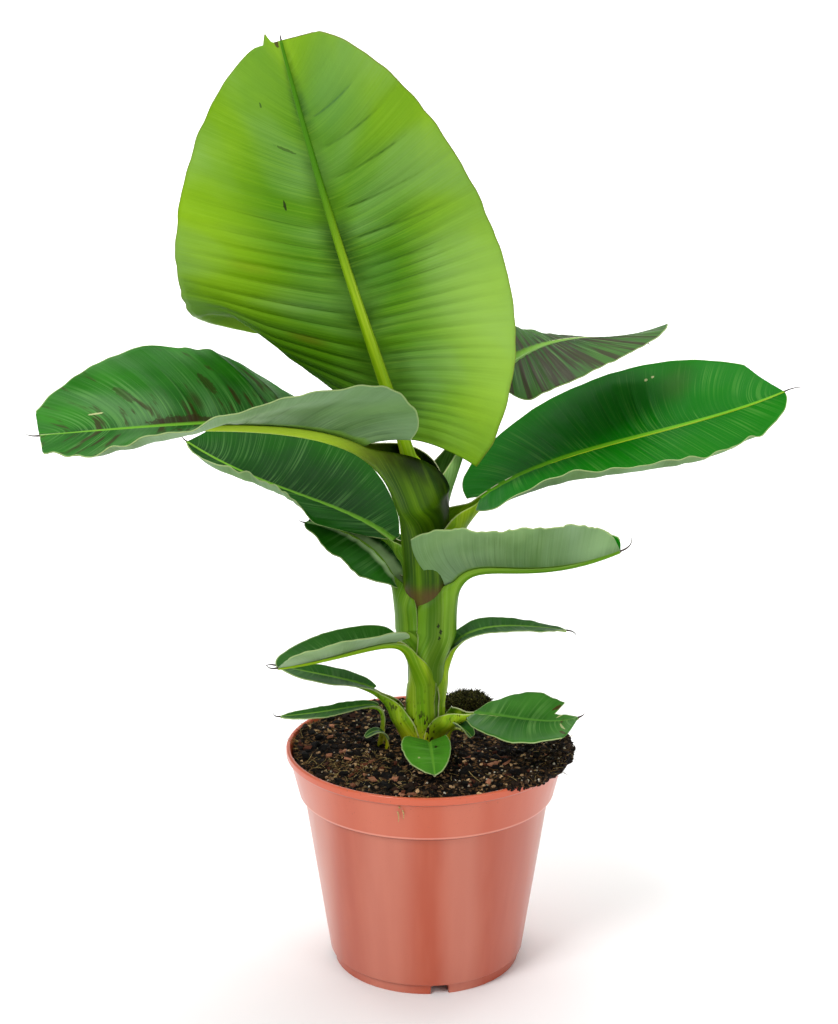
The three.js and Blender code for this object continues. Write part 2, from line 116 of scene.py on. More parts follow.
LEAVES = {
    "leaf_top": dict(
        heading=255, lean=13, start=0.16,
        spine=((0.005, 0.284), (0.002, 0.331), (0.058, 0.421), (0.068, 0.556)),
        rib=(0.0055, 0.0036), thread=0.004, width=(0.084, 0.101),
        lift=((14, 6, -32), (22, 0, 54)), sweep=(-0.77, 0.92), shoulder=(0.44, 0.87),
        widest=(0.37, 0.19), blunt=(1.8, 1.83), bow=(1.45, 1.15),
        sheath=Sheath(0.25, 258, 150, 3.0, 0.5, (0.1, 0.8)), waves=(1.0, 1.2, 8),
        pleats=(0.55, 5.8, 10.4), ridges=(0.9, 17), torn=0.014, lobe=0.04,
        hook=(1, 0.95, 0.014, 6), kink=(1, 0.77, 18, 7), skins=("young", "young"),
        limb="young_rib_skin",
    ),
    "leaf_left_long": dict(
        heading=195, lean=-12, start=0.32,
        spine=((0.004, 0.256), (0.009, 0.351), (0.084, 0.35), (0.221, 0.345)),
        rib=(0.009, 0.0046), thread=0.008, width=(0.068, 0.067),
        lift=((74, 20, 0), (-9, 20, -14)), sweep=(-0.83, 0.67), shoulder=(0.33, 0.74),
        widest=(0.39, 0.36), blunt=(1.88, 2.25), bow=(1.16, 1.9),
        sheath=Sheath(0.19, 214, 150, 2.4, 0.228, (0.44, 1.02)), waves=(1.5, 1.2, 9),
        pleats=(0.7, 13), torn=0.01, roll=(4, 0), lobe=0.12, skins=("blotched", "grey"),
        limb="olive_sheath_skin",
    ),
    "leaf_right_large": dict(
        heading=21, lean=1, start=0.17,
        spine=((0.006, 0.256), (0.034, 0.319), (0.146, 0.309), (0.239, 0.338)),
        rib=(0.006, 0.0034), thread=0.014, turn=-0.9, width=(0.077, 0.046),
        lift=((-2, 16, 7), (15, -18, -35)), sweep=(-0.45, -0.5), shoulder=(0.32, 0.9),
        widest=(0.56, 0.48), blunt=(1.72, 1.3), bow=(1.6, 0.8),
        sheath=Sheath(0.215, 20, 95, 2.0, 0.3, (0.1, 0.9)), waves=(0.5, 0.9, 7),
        pleats=(0.35, 10), torn=0.004, roll=(0, 7), lobe=0.5, skins=("dark", "grey"),
    ),
    "leaf_back_right": dict(
        heading=44, lean=5, start=0.47,
        spine=((0.008, 0.266), (0.016, 0.37), (0.066, 0.388), (0.185, 0.364)),
        rib=(0.0065, 0.0032), thread=0.01, turn=-1, width=(0.026, 0.043),
        lift=((37, -7, 3), (-19, 2, 55)), sweep=(0.6, -1.1), shoulder=(0.9, 0.5),
        widest=(0.3, 0.35), blunt=(2.8, 2.2), bow=(0.9, 1.05),
        sheath=Sheath(0.24, 20, 120, 2.4, 0.5, (0.05, 0.5)), waves=(1.0, 1.0, 7),
        pleats=(0.4, 6), torn=0.01, skins=("striped", "striped"), limb="waxy_petiole_skin",
    ),
    "leaf_left_lower": dict(
        heading=149, lean=3, start=0.12,
        spine=((0.007, 0.247), (0.031, 0.282), (0.103, 0.272), (0.179, 0.304)),
        rib=(0.005, 0.003), thread=0.006, width=(0.033, 0.065),
        lift=((-15, 11, -35), (6, 21, 10)), sweep=(1.1, 0), shoulder=(0.53, 0.14),
        widest=(0.17, 0.5), blunt=(1.2, 1.53), bow=(1.4, 1.5),
        sheath=Sheath(0.19, 150, 80, 1.8, 0.24, (0.1, 1.0)), waves=(1.2, 0.6, 6),
        pleats=(0.3, 11), torn=0.008, roll=(5, 0), skins=("shaded", "grey"),
        limb="grey_sheath_skin",
    ),
    "leaf_left_folded": dict(
        heading=159, start=0.38,
        spine=((0.01, 0.19), (0.01, 0.248), (0.033, 0.268), (0.078, 0.268)), rib=(0.007, 0.003),
        thread=0.005, width=(0.025, 0.024), lift=((17, -28, 8), (20, 15, 5)),
        sweep=(-0.2, -0.2), shoulder=(0.3, 0.5), widest=(0.26, 0.3), blunt=(1.4, 1.9),
        bow=(1.2, 1.4), sheath=Sheath(0.137, 168, 104, 1.7, 0.2, (0.75, 1.2)),
        waves=(1.0, 1.0, 6), pleats=(0.4, 9), torn=0.01, skins=("folded", "grey"),
        limb="grey_sheath_skin",
    ),
    "leaf_right_middle": dict(
        heading=-20, lean=-2, start=0.31,
        spine=((0.008, 0.187), (0.011, 0.286), (0.039, 0.23), (0.116, 0.268)),
        rib=(0.0075, 0.0032), thread=0.012, turn=2.2, width=(0.022, 0.045),
        lift=((29, 54, 26), (49, 44, 88)), sweep=(0.18, 0.26), shoulder=(0.88, 1),
        widest=(0.6, 0.44), blunt=(2.37, 1.2), bow=(1.9, 1.25),
        sheath=Sheath(0.137, 343, 104, 0.8, 0.18, (0.72, 1.15)), waves=(0.8, 0.6, 20),
        pleats=(0.2, 6), torn=0.02, lobe=0, skins=("dark", "ash"), limb="grey_sheath_skin",
    ),
    "leaf_left_small_upper": dict(
        heading=208, lean=-7, start=0.49,
        spine=((0.004, 0.144), (0.005, 0.235), (0.025, 0.203), (0.1, 0.204)),
        rib=(0.008, 0.0024), thread=0.008, turn=1.6, width=(0.032, 0.017),
        lift=((35, 40, 40), (30, 25, 15)), sweep=(-0.1, -0.4), shoulder=(0.6, 0.5),
        widest=(0.42, 0.42), sheath=Sheath(0.137, 256, 50, 0, 0.1, (0.3, 0.8)),
        waves=(0.7, 0.5, 5), pleats=(0.12, 6), torn=0.012,
    ),
    "leaf_left_small_lower": dict(
        heading=190, start=0.42,
        spine=((0.015, 0.136), (0.014, 0.177), (0.036, 0.176), (0.09, 0.192)),
        rib=(0.0045, 0.0018), thread=0.007, turn=-1.2, width=(0.015, 0.01),
        lift=((15, 0, 0), (25, 20, 0)), sweep=(-0.3, -0.5), widest=(0.42, 0.42), blunt=(2, 2),
        sheath=Sheath(0.137, 200, 60, -1, 0.1, (0.0, 0.9)), waves=(0.4, 0.4, 4),
        pleats=(0.12, 5), torn=0.02,
    ),
    "leaf_left_lowest": dict(
        heading=185, start=0.32,
        spine=((0.027, 0.136), (0.02, 0.176), (0.031, 0.159), (0.088, 0.157)),
        rib=(0.0018, 0.0012), thread=0.005, turn=2, width=(0.009, 0.006),
        lift=((15, 0, 0), (25, 20, 0)), waves=(0.4, 0.4, 4), pleats=(0.12, 5), torn=0.06,
    ),
    "leaf_right_small": dict(
        heading=10, start=0.32,
        spine=((0.008, 0.162), (0.007, 0.211), (0.03, 0.214), (0.086, 0.204)),
        rib=(0.005, 0.0018), thread=0.008, turn=-1.6, width=(0.01, 0.012),
        lift=((25, 15, 0), (15, 0, 10)), shoulder=(0.6, 0.5), widest=(0.4, 0.4),
        blunt=(2.1, 2.1), sheath=Sheath(0.137, 12, 60, 0.2, 0.15, (0.1, 0.9)),
        waves=(0.5, 0.5, 5), pleats=(0.12, 5), torn=0.02,
    ),
    "leaf_right_low": dict(
        heading=-25, start=0.3,
        spine=((0.011, 0.143), (0.014, 0.175), (0.064, 0.153), (0.097, 0.169)),
        rib=(0.005, 0.0022), thread=0.005, width=(0.021, 0.036),
        lift=((10, 30, -10), (0, 0, -10)), sweep=(-0.1, 0), shoulder=(0.1, 0.35),
        widest=(0.42, 0.45), blunt=(1.9, 2.8),
        sheath=Sheath(0.137, -25, 70, -1, 0.1, (0.0, 0.9)), waves=(0.8, 0.8, 5),
        pleats=(0.35, 8), torn=0.012, nick=(0, 0.68, 0.45), skins=("torn", "grey"),
    ),
    "leaf_front_round": dict(
        heading=274, start=0.28,
        spine=((0.012, 0.136), (0.016, 0.151), (0.029, 0.149), (0.065, 0.143)),
        rib=(0.0034, 0.0016), width=(0.012, 0.018), lift=((15, 10, 0), (15, 10, 15)),
        sweep=(-0.7, -0.4), shoulder=(0.75, 0.65), widest=(0.3, 0.35), blunt=(1.5, 1.5),
        waves=(0.8, 0.8, 4), pleats=(0.12, 6), torn=0.02, skins=("fresh", "grey"),
    ),
    "shoot_right": dict(
        heading=-30, start=0.3,
        spine=((0.013, 0.136), (0.013, 0.151), (0.021, 0.156), (0.031, 0.147)),
        rib=(0.0024, 0.0012), width=(0.007, 0.006), lift=((30, 20, 0), (60, 40, 0)),
        shoulder=(0.6, 0.6), waves=(0.1, 0.1, 2), pleats=(0.05, 4), torn=0.01,
    ),
    "shoot_left": dict(
        heading=200, start=0.3,
        spine=((0.024, 0.136), (0.025, 0.149), (0.031, 0.152), (0.039, 0.146)),
        rib=(0.0014, 0.0009), thread=0.003, turn=-1, width=(0.0045, 0.0045),
        lift=((15, 5, 0), (15, 5, 0)), waves=(0.1, 0.1, 2), pleats=(0.05, 4), torn=0.02,
    ),
}
FORWARD = 0.9  # how far the last veins run forward
KINK_REACH = 0.21  # how far across the blade a kink reaches
LOBE_REACH = 0.09  # share of a blade in which its base rounds off
LONG_MIDRIB = 0.15  # a blade on a longer midrib gets a finer mesh
LONG_GRID = (64, 280)  # columns and rows of a blade's mesh
SHORT_GRID = (28, 90)
RIB_CROWD = 1.2  # crowds the columns towards the midrib
TIP_CROWD = 1.25  # and the rows towards the tip
BLADE_THICKNESS = 0.6 * MM
LIMB_THICKNESS = 0.7 * MM
RIB_TIP = 0.6 * MM
RIB_DROP = 0.5  # share of the rib that stands out below
PITCH = 2 * MM  # between the sections of a limb
CHANNEL = 124  # half the arc of a petiole's channel, degrees

# ---------------- small sums


def smooth(low, high, value):
    share = min(max((value - low) / (high - low), 0), 1)
    return share * share * (3 - 2 * share)


def blend(a, b, share):
    return a + (b - a) * share


def compass(angle):
    return Vector((math.cos(math.radians(angle)), math.sin(math.radians(angle)), 0))


def tint(red, green, blue):
    """A colour of 0 to 255 a channel, as the linear colour that a shader takes."""
    channels = [channel / 255 for channel in (red, green, blue)]
    linear = [c / 12.92 if c < 0.04045 else ((c + 0.055) / 1.055) ** 2.4 for c in channels]
    return (*linear, 1)


# ---------------- finishes


class Finish:
    """A principled material that is painted in layers, a node at a time."""

    def __init__(self, name, roughness=0.5, specular=0.5, coat=0.0, sheen=0.0):
        self.material = bpy.data.materials.new(name)
        self.material.use_nodes = True
        self.tree = self.material.node_tree
        self.shader = self.tree.nodes["Principled BSDF"]
        self.colour = None
        for socket, value in (("Roughness", roughness), ("Specular IOR Level", specular),
                              ("Coat Weight", coat), ("Sheen Weight", sheen)):
            self.shader.inputs[socket].default_value = value

    def put(self, socket, value):
        if isinstance(value, bpy.types.NodeSocket):
            self.tree.links.new(value, socket)
        else:
            socket.default_value = value

    def node(self, kind, output=0, **inputs):
        made = self.tree.nodes.new(kind)
        for name, value in inputs.items():
            self.put(made.inputs[name.replace("_", " ")], value)
        return made.outputs[output]

    def place(self):
        return self.node("ShaderNodeTexCoord", "Object")

    def strip(self):
        """The piece's own (across, along) coordinates, in metres."""
        made = self.tree.nodes.new("ShaderNodeUVMap")
        made.uv_map = "strip"
        return made.outputs["UV"]

    def attribute(self, name):
        made = self.tree.nodes.new("ShaderNodeAttribute")
        made.attribute_name = name
        return made.outputs["Fac"]

    def axis(self, vector, index):
        return self.node("ShaderNodeSeparateXYZ", index, Vector=vector)

    def noise(self, vector, scale, detail=2.0, distortion=0.0):
        """Noise of one scale, or of a scale of its own along each axis."""
        if isinstance(scale, tuple):
            vector = self.node("ShaderNodeMapping", Vector=vector, Scale=(*scale, 1)[:3])
            scale = 1.0
        return self.node("ShaderNodeTexNoise", "Fac", Vector=vector, Scale=scale,
                         Detail=detail, Distortion=distortion)

    def math(self, operation, a, b=0.0):
        made = self.tree.nodes.new("ShaderNodeMath")
        made.operation = operation
        self.put(made.inputs[0], a)
        self.put(made.inputs[1], b)
        return made.outputs[0]

    def times(self, a, b):
        return self.math("MULTIPLY", a, b)

    def plus(self, a, b):
        return self.math("ADD", a, b)

    def off(self, value, middle):
        """How far a value is from a middle one."""
        return self.math("ABSOLUTE", self.math("SUBTRACT", value, middle))

    def step(self, value, low, high, bottom=0.0, top=1.0):
        """bottom below low and top above high, smooth between them."""
        made = self.tree.nodes.new("ShaderNodeMapRange")
        made.interpolation_type = "SMOOTHSTEP"
        for name, number in zip(("Value", "From Min", "From Max", "To Min", "To Max"),
                                (value, low, high, bottom, top)):
            self.put(made.inputs[name], number)
        return made.outputs[0]

    def spot(self, strip, at, size, soft):
        """1 inside an oval round a place on the piece's strip, and 0 outside it.  Its rim
        is ragged where soft is small, and fades out where it is near 1."""
        scale = [1 / side for side in size] + [0]
        moved = self.node("ShaderNodeMapping", Vector=strip, Scale=scale,
                          Location=[-a * b for a, b in zip(at, scale)] + [0])
        measured = self.tree.nodes.new("ShaderNodeVectorMath")
        measured.operation = "LENGTH"
        self.put(measured.inputs[0], moved)
        frayed = self.math("SUBTRACT", self.noise(strip, FRAY_SCALE, detail=3), 0.5)
        frayed = self.times(frayed, FRAY * (1 - soft) ** 3)
        return self.step(self.plus(measured.outputs["Value"], frayed), 1 - soft, 1.05, 1, 0)

    def mix(self, share, a, b):
        made = self.tree.nodes.new("ShaderNodeMix")
        made.data_type = "RGBA"
        for socket, value in zip((0, 6, 7), (share, a, b)):
            self.put(made.inputs[socket], value)
        return made.outputs[2]

    def base(self, share, a, b):
        """The first layer: a where the share is 0 and b where it is 1."""
        self.colour = self.mix(share, a, b)

    def over(self, share, shade):
        """Lays a shade over the layers so far."""
        self.colour = self.mix(share, self.colour, shade)

    def rough(self, value):
        self.put(self.shader.inputs["Roughness"], value)

    def done(self, height, depth):
        """Puts the layers and a relief on the shader, and gives the material."""
        bump = self.node("ShaderNodeBump", Height=height, Distance=depth, Strength=1.0)
        self.put(self.shader.inputs["Base Color"], self.colour)
        self.put(self.shader.inputs["Normal"], bump)
        return self.material


def darker(colour, share=0.4):
    return tuple(channel * share for channel in colour[:3]) + (1,)


def blade_finish(name, shades, roughness=0.48, sheen=0.0, gloss=0.12, bloom=None,
                 bloomed=0.75, stain=None, stained=0.6, blot=(34, 210), veins=0.4,
                 pleat_shade=0.3, midrib_shade=0.4, cloudy=0.5, marks=(), broad_rib=1.0,
                 rib_ends=None, hem=(176, 200, 130)):
    """A blade's skin.  Its shades are the deep one by the midrib, the light one out
    towards the margin, the veins' and the midrib's.
      bloom, bloomed         clouds of wax: colour and strength
      stain, stained, blot   dark stains: colour, how rare, and their scales
      veins, pleat_shade     strength of the veins, and of the painted shade in the pleats
      midrib_shade, cloudy   strength of the painted shade by the midrib, and of the clouds
      marks                  single blemishes, and patches of painted light shining through
                       the blade: across and along the blade, half width and half
                       length in millimetres, colour and strength
      broad_rib, rib_ends    the midrib's paint: how broad, and where along it it fades
      hem                    colour of the thin margin"""
    deep, light, vein, rib = (tint(*shade) for shade in shades)
    look = Finish(name, roughness=roughness, specular=gloss, sheen=sheen)
    strip = look.strip()
    margin, from_rib = look.attribute("margin"), look.attribute("rib")
    streaks = look.noise(strip, (12, 1500), detail=3)
    ridges = look.noise(strip, (2.4, 330), detail=1)
    clouds = look.noise(strip, (26, 34), detail=3, distortion=0.3)
    patches = look.noise(strip, (30, 40), detail=1)
    outer = look.step(margin, 2 * MM, 50 * MM, 0.75, 0.1)
    look.base(look.times(outer, look.step(clouds, 0.3, 0.7, 1 - cloudy, 1 + cloudy)), deep, light)
    look.over(look.step(streaks, 0.4, 0.7, 0, 0.22), light)
    if bloom:
        haze = look.noise(strip, (13, 22), distortion=0.5)
        look.over(look.times(look.step(haze, 0.4, 0.68, 0, bloomed),
                             look.step(streaks, 0.25, 0.6, 0.6, 1)), tint(*bloom))
    # painted shade along the midrib
    look.over(look.times(look.step(from_rib, 1.3, 8, midrib_shade, 0),
                         look.step(clouds, 0.3, 0.65, 1, 0.3)), darker(deep))
    # painted shade in the folds of the pleats
    look.over(look.times(look.step(look.attribute("pleat"), 0.4, 0.95, 0, pleat_shade),
                         look.step(patches, 0.35, 0.6, 0.45, 0.9)), darker(deep))
    drawn = look.times(look.step(look.off(ridges, 0.5), 0, 0.03, veins, 0),
                       look.step(margin, 1 * MM, 14 * MM, 0.2, 1))
    look.over(look.times(drawn, look.step(patches, 0.35, 0.6, 0.2, 1)), vein)
    if stain:
        blots = look.noise(strip, blot, detail=5, distortion=0.3)
        spread = look.plus(blots, look.times(look.noise(strip, (12, 20), detail=1), 0.5))
        look.over(look.step(spread, stained + 0.2, stained + 0.31, 0, 0.8), tint(*stain))
    for across, along, wide, long, shade, share in marks:
        oval = look.spot(strip, (across * MM, along * MM), (wide * MM, long * MM),
                         BROAD_SOFT if wide > BROAD_MARK else SMALL_SOFT)
        look.over(look.times(oval, share), tint(*shade))
    near_rib = look.step(from_rib, 0.5 * broad_rib, 1.25 * broad_rib, 1, 0)
    if rib_ends:
        near_rib = look.times(near_rib, look.step(look.axis(strip, 1), *rib_ends, 1, 0.25))
    look.over(near_rib, rib)
    look.over(look.step(margin, 0.1 * MM, 0.7 * MM, 0.7, 0), tint(*hem))
    look.rough(look.step(clouds, 0.3, 0.7, roughness - 0.06, roughness + 0.08))
    return look.done(look.plus(streaks, look.times(ridges, 2.5)), 0.12 * MM)


def plain_finish(name, colour, roughness):
    look = Finish(name, roughness=roughness)
    grain = look.noise(look.place(), 900)
    look.base(grain, darker(colour, 0.6), colour)
    return look.done(grain, 0.1 * MM)


FRAY = 1.6  # raggedness of a sharp mark's rim
FRAY_SCALE = 650
BROAD_MARK = 10  # a mark wider than this, in millimetres, is soft
BROAD_SOFT = 0.9
SMALL_SOFT = 0.1
DRY = (70, 46, 20)
PALE_SCAR = (196, 196, 140)
SPOT = (30, 34, 8)
OLIVE_TINT = (104, 96, 16)
MAROON = (46, 32, 10)
TOP_MARKS_AND_LIGHT = (
    (24, 185.8, 0.8, 2.6, SPOT, 0.9), (26.3, 234.2, 0.7, 1.2, SPOT, 0.8),
    (54, 146, 16, 5, OLIVE_TINT, 0.35), (36, 102, 15, 5, OLIVE_TINT, 0.5),
    (15.6, 217, 6, 0.8, SPOT, 0.5), (8, 275, 4, 3, DRY, 0.9),
    # painted light: the broad bright ovals (168, 212, 92) and (160, 204, 16) stand for light
    # shining through the blade
    (-66, 110, 50, 66, (168, 212, 92), 0.5), (-20, 150, 22, 26, (50, 110, 0), 0.5),
    (62, 150, 40, 60, (160, 204, 16), 0.35), (30, 250, 40, 34, (84, 138, 52), 0.45),
    (-24, 240, 30, 30, (96, 146, 84), 0.45),
)
LARGE_MARKS = (
    (-58.2, 169.4, 1.6, 0.9, PALE_SCAR, 0.9), (-60, 173, 1.2, 0.8, PALE_SCAR, 0.9),
    (-45, 186, 26, 14, (60, 84, 10), 0.3),
)
LONG_MARKS = (
    (3, 190, 5, 20, MAROON, 0.75), (20, 178, 12, 4, MAROON, 0.6), (34, 166, 9, 3, MAROON, 0.6),
    (30, 210, 8, 2.5, MAROON, 0.5), (18, 231, 0.8, 4, PALE_SCAR, 0.8),
)
TEAR_MARKS = (
    (-12, 74, 3, 0.9, DRY, 0.9), (-6, 80.5, 3, 0.9, PALE_SCAR, 0.9), (1, 86, 3, 0.8, DRY, 0.8),
    (10, 85, 5, 0.6, PALE_SCAR, 0.8), (20, 82.5, 4, 0.9, DRY, 0.8),
)
ASH_MARKS = ((0, 112, 60, 42, (74, 114, 50), 0.5),)
ROUND_MARKS = ((-3.1, 28.4, 0.9, 1.6, SPOT, 1), (8, 40, 0.7, 0.7, PALE_SCAR, 0.8))
WAXY = dict(roughness=0.55, sheen=0.06, veins=0.3)
STRIPES = dict(stained=0.5, blot=(14, 420))

BLADE_UPPERS = {
    "young": dict(shades=((36, 100, 8), (88, 150, 24), (130, 184, 60), (150, 190, 50)),
                  roughness=0.44),
    "dark": dict(shades=((0, 102, 0), (14, 112, 0), (84, 146, 56), (98, 166, 24)),
                 roughness=0.5, gloss=0.05, marks=LARGE_MARKS, midrib_shade=0.2, cloudy=0.3,
                 pleat_shade=0.5),
    "folded": dict(shades=((4, 58, 0), (34, 96, 14), (90, 140, 70), (172, 204, 146)),
                   roughness=0.5, gloss=0.04, broad_rib=2.8),
    "torn": dict(shades=((28, 92, 18), (68, 128, 44), (124, 172, 92), (84, 140, 50)),
                 veins=0.5, marks=TEAR_MARKS),
    "shaded": dict(shades=((4, 56, 0), (22, 84, 4), (90, 140, 70), (104, 160, 40)),
                   roughness=0.5, gloss=0.04),
    "blotched": dict(shades=((10, 76, 4), (44, 120, 20), (104, 160, 80), (104, 166, 40)),
                     bloom=(92, 136, 82), stain=(50, 40, 12), gloss=0.08, marks=LONG_MARKS,
                     pleat_shade=0.85, bloomed=0.9),
    "striped": dict(shades=((28, 74, 14), (62, 108, 38), (128, 170, 96), (120, 172, 60)),
                    stain=(52, 34, 24), **STRIPES),
    "small": dict(shades=((14, 68, 8), (48, 104, 26), (110, 158, 84), (110, 156, 56)),
                  veins=0.5),
    "fresh": dict(shades=((40, 104, 16), (78, 142, 36), (130, 186, 90), (96, 154, 46)),
                  roughness=0.44, veins=0.3, marks=ROUND_MARKS),
}
BLADE_UNDERS = {
    # The young leaf's underside: its bright yellow-greens are partly its own pale colour and
    # partly painted light that shines through the thin blade.
    "young": dict(shades=((70, 128, 4), (136, 180, 28), (156, 202, 60), (178, 200, 30)),
                  roughness=0.5, bloom=(122, 164, 96), veins=0.12, pleat_shade=0.9, midrib_shade=0.95,
                  marks=TOP_MARKS_AND_LIGHT, rib_ends=(0.16, 0.27), cloudy=0.25, bloomed=0.5,
                  hem=(128, 136, 56)),
    "striped": dict(shades=((64, 96, 44), (112, 140, 88), (150, 180, 126), (124, 166, 84)),
                    roughness=0.52, stain=(60, 42, 32), **STRIPES),
    "grey": dict(shades=((68, 106, 50), (110, 148, 86), (138, 172, 110), (112, 156, 50)),
                 bloom=(132, 164, 122), **WAXY),
    "ash": dict(shades=((84, 122, 62), (132, 168, 106), (158, 190, 132), (112, 156, 50)),
                bloom=(150, 180, 142), marks=ASH_MARKS, **WAXY),
    "pale": dict(shades=((92, 130, 72), (144, 178, 120), (166, 196, 142), (118, 162, 54)),
                 bloom=(170, 196, 162), **WAXY),
}


def blade_finishes(side, recipes):
    return {kind: blade_finish(f"{kind}_blade_{side}", **recipe)
            for kind, recipe in recipes.items()}


RIB_FROM = 0.12  # along an olive limb, where its bright rib starts
TIP_FADE = (0.15, 0.25)  # along the young limb, where it turns green
CORE_TOP = 0.243  # height below which the inner sheath is brown
FOOT_TOP = 0.022  # of the yellowed foot above the soil
ROT_TOP = (0.012, 0.05)  # above the soil, between which the rot fades
SHADE_BAND_X = 0.0048  # the middle of the stem's painted shade band, along X
STEM_MARKS = ((0.0075, 0.2085), (0.0083, 0.2125), (0.0068, 0.216))  # along X, and height


def skin_finish(name):
    """The skin of sheath, petiole and midrib, striped along its length.  It may turn
    to the foot's colour at the soil, have a mottled painted shadow by its margins, and turn
    to the rib's colour past RIB_FROM and to the tip's over TIP_FADE.  Below CORE_TOP it
    has the colour of the core.  Some get a painted shade band down the stem, dark marks
    and rot."""
    shades = {part: tint(*shade) for part, shade in LIMB_SKINS[name].items()}
    deep, light, stripe = shades["deep"], shades["light"], shades["stripe"]
    foot, margin_shadow, rib, tip, core = map(shades.get, ("foot", "margin_shadow", "rib", "tip", "core"))
    band_and_spots = SHADED_AND_SPOTTED.get(name, 0)
    look = Finish(name, roughness=0.42, specular=0.12)
    strip, place = look.strip(), look.place()
    margin, along = look.attribute("margin"), look.axis(strip, 1)
    aside, height = look.axis(place, 0), look.axis(place, 2)
    fibres = look.noise(strip, (900, 9), detail=3)
    look.base(look.step(look.noise(strip, (170, 5)), 0.34, 0.66), deep, light)
    look.over(look.step(fibres, 0.5, 0.72, 0, 0.5), stripe)
    look.over(look.step(fibres, 0.3, 0.44, 0.35, 0), darker(deep))
    # painted shadow, mottled, over the sheath by its margins, where the blade shades it
    if margin_shadow:
        mottled = look.noise(strip, (130, 60), detail=3)
        look.over(look.times(look.step(margin, 1 * MM, 28 * MM, 1, 0),
                             look.step(mottled, 0.3, 0.6, 0.5, 1)), margin_shadow)
    hem = look.times(look.step(margin, 0.3 * MM, 0.9 * MM, 0.75, 0),
                     look.step(along, 0.4 * RIB_FROM, 0.8 * RIB_FROM, 1, 0))
    look.over(hem, tint(196, 206, 140))
    if rib:
        look.over(look.step(along, RIB_FROM, RIB_FROM + 0.05), rib)
    if tip:
        look.over(look.step(along, *TIP_FADE), tip)
    if core:
        look.over(look.step(height, CORE_TOP - 0.01, CORE_TOP, 0.75, 0), core)
    if foot:
        look.over(look.step(height, SOIL_LEVEL, SOIL_LEVEL + FOOT_TOP, 0.6, 0), foot)
    if band_and_spots:
        # painted shade: a darker band down the stem, right of its middle
        look.over(look.step(look.off(aside, SHADE_BAND_X), 0.0025, 0.0065, 0.6, 0), darker(deep))
        frayed = look.times(look.noise(place, 800), 2 * MM)
        for across, level in STEM_MARKS:
            far = look.plus(look.off(aside, across), look.times(look.off(height, level), 0.5))
            look.over(look.step(look.plus(far, frayed), 1.7 * MM, 2.1 * MM, 0.9, 0),
                      tint(24, 22, 8))
        low = look.step(height, *(SOIL_LEVEL + rise for rise in ROT_TOP), 1, 0)
        rot = look.times(look.step(look.noise(place, (620, 620, 279), detail=1), 0.57, 0.63),
                         look.step(look.noise(place, 70, detail=1), 0.38, 0.56))
        look.over(look.times(rot, look.times(low, band_and_spots)), tint(40, 26, 12))
    return look.done(fibres, 0.12 * MM)


LIMB_SKINS = {
    "bright_sheath_skin": dict(deep=(104, 154, 8), light=(164, 198, 30),
                               stripe=(184, 208, 80), foot=(176, 156, 16)),
    "young_rib_skin": dict(deep=(122, 170, 2), light=(174, 206, 36), stripe=(206, 218, 90),
                           tip=(70, 128, 10)),
    "olive_sheath_skin": dict(deep=(40, 78, 4), light=(90, 130, 8), stripe=(120, 150, 40),
                              margin_shadow=(18, 32, 2), rib=(156, 186, 40), core=(96, 66, 40)),
    "grey_sheath_skin": dict(deep=(78, 128, 14), light=(120, 162, 38),
                             stripe=(158, 190, 96)),
    "waxy_petiole_skin": dict(deep=(92, 140, 42), light=(130, 172, 92),
                              stripe=(160, 194, 130)),
    "stem_core_skin": dict(deep=(74, 42, 16), light=(92, 84, 20), stripe=(120, 96, 40)),
}
# The skins that have the stem's painted shade band and its marks, and how much of its rot.
SHADED_AND_SPOTTED = {"bright_sheath_skin": 1.0, "grey_sheath_skin": 0.6, "stem_core_skin": 1.0}

# ---------------- pieces

MERGE = 0.002 * MM  # corners nearer than this are one


def finish_piece(bm, name, materials, nodes, shade_smooth=True):
    """Makes the mesh a piece that rides on the body and stands for the named nodes."""
    mesh = bpy.data.meshes.new(name)
    bm.to_mesh(mesh)
    bm.free()
    for material in materials:
        mesh.materials.append(material)
    for polygon in mesh.polygons:
        polygon.use_smooth = shade_smooth
    piece = bpy.data.objects.new(name, mesh)
    bpy.context.scene.collection.objects.link(piece)
    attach(piece, "root")
    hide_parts(*nodes)
    return piece


def thicken(piece, thickness, rim_material, under_material=0):
    """Gives a sheet its thickness, half of it to each side."""
    wall = piece.modifiers.new("thickness", "SOLIDIFY")
    wall.thickness = thickness
    wall.offset = 0
    wall.use_even_offset = False
    wall.material_offset = under_material
    wall.material_offset_rim = rim_material


def sheet_mesh(columns, rows, shape):
    """A grid whose points are placed by shape(across, along), across from -1 to 1 and
    along from 0 to 1, which gives a point, its strip coordinates and its marks."""
    bm = bmesh.new()
    bmesh.ops.create_grid(bm, x_segments=columns, y_segments=rows, size=1.0)
    marks = [bm.verts.layers.float.new(name) for name in ("margin", "rib", "pleat")]
    strip = bm.loops.layers.uv.new("strip")
    places = {}
    for vert in bm.verts:
        vert.co, places[vert], *values = shape(vert.co.x, (vert.co.y + 1) / 2)
        for mark, value in zip(marks, values):
            vert[mark] = value
    for face in bm.faces:
        for loop in face.loops:
            loop[strip].uv = places[loop.vert]
    bmesh.ops.remove_doubles(bm, verts=bm.verts, dist=MERGE)
    return bm


# ---------------- leaves


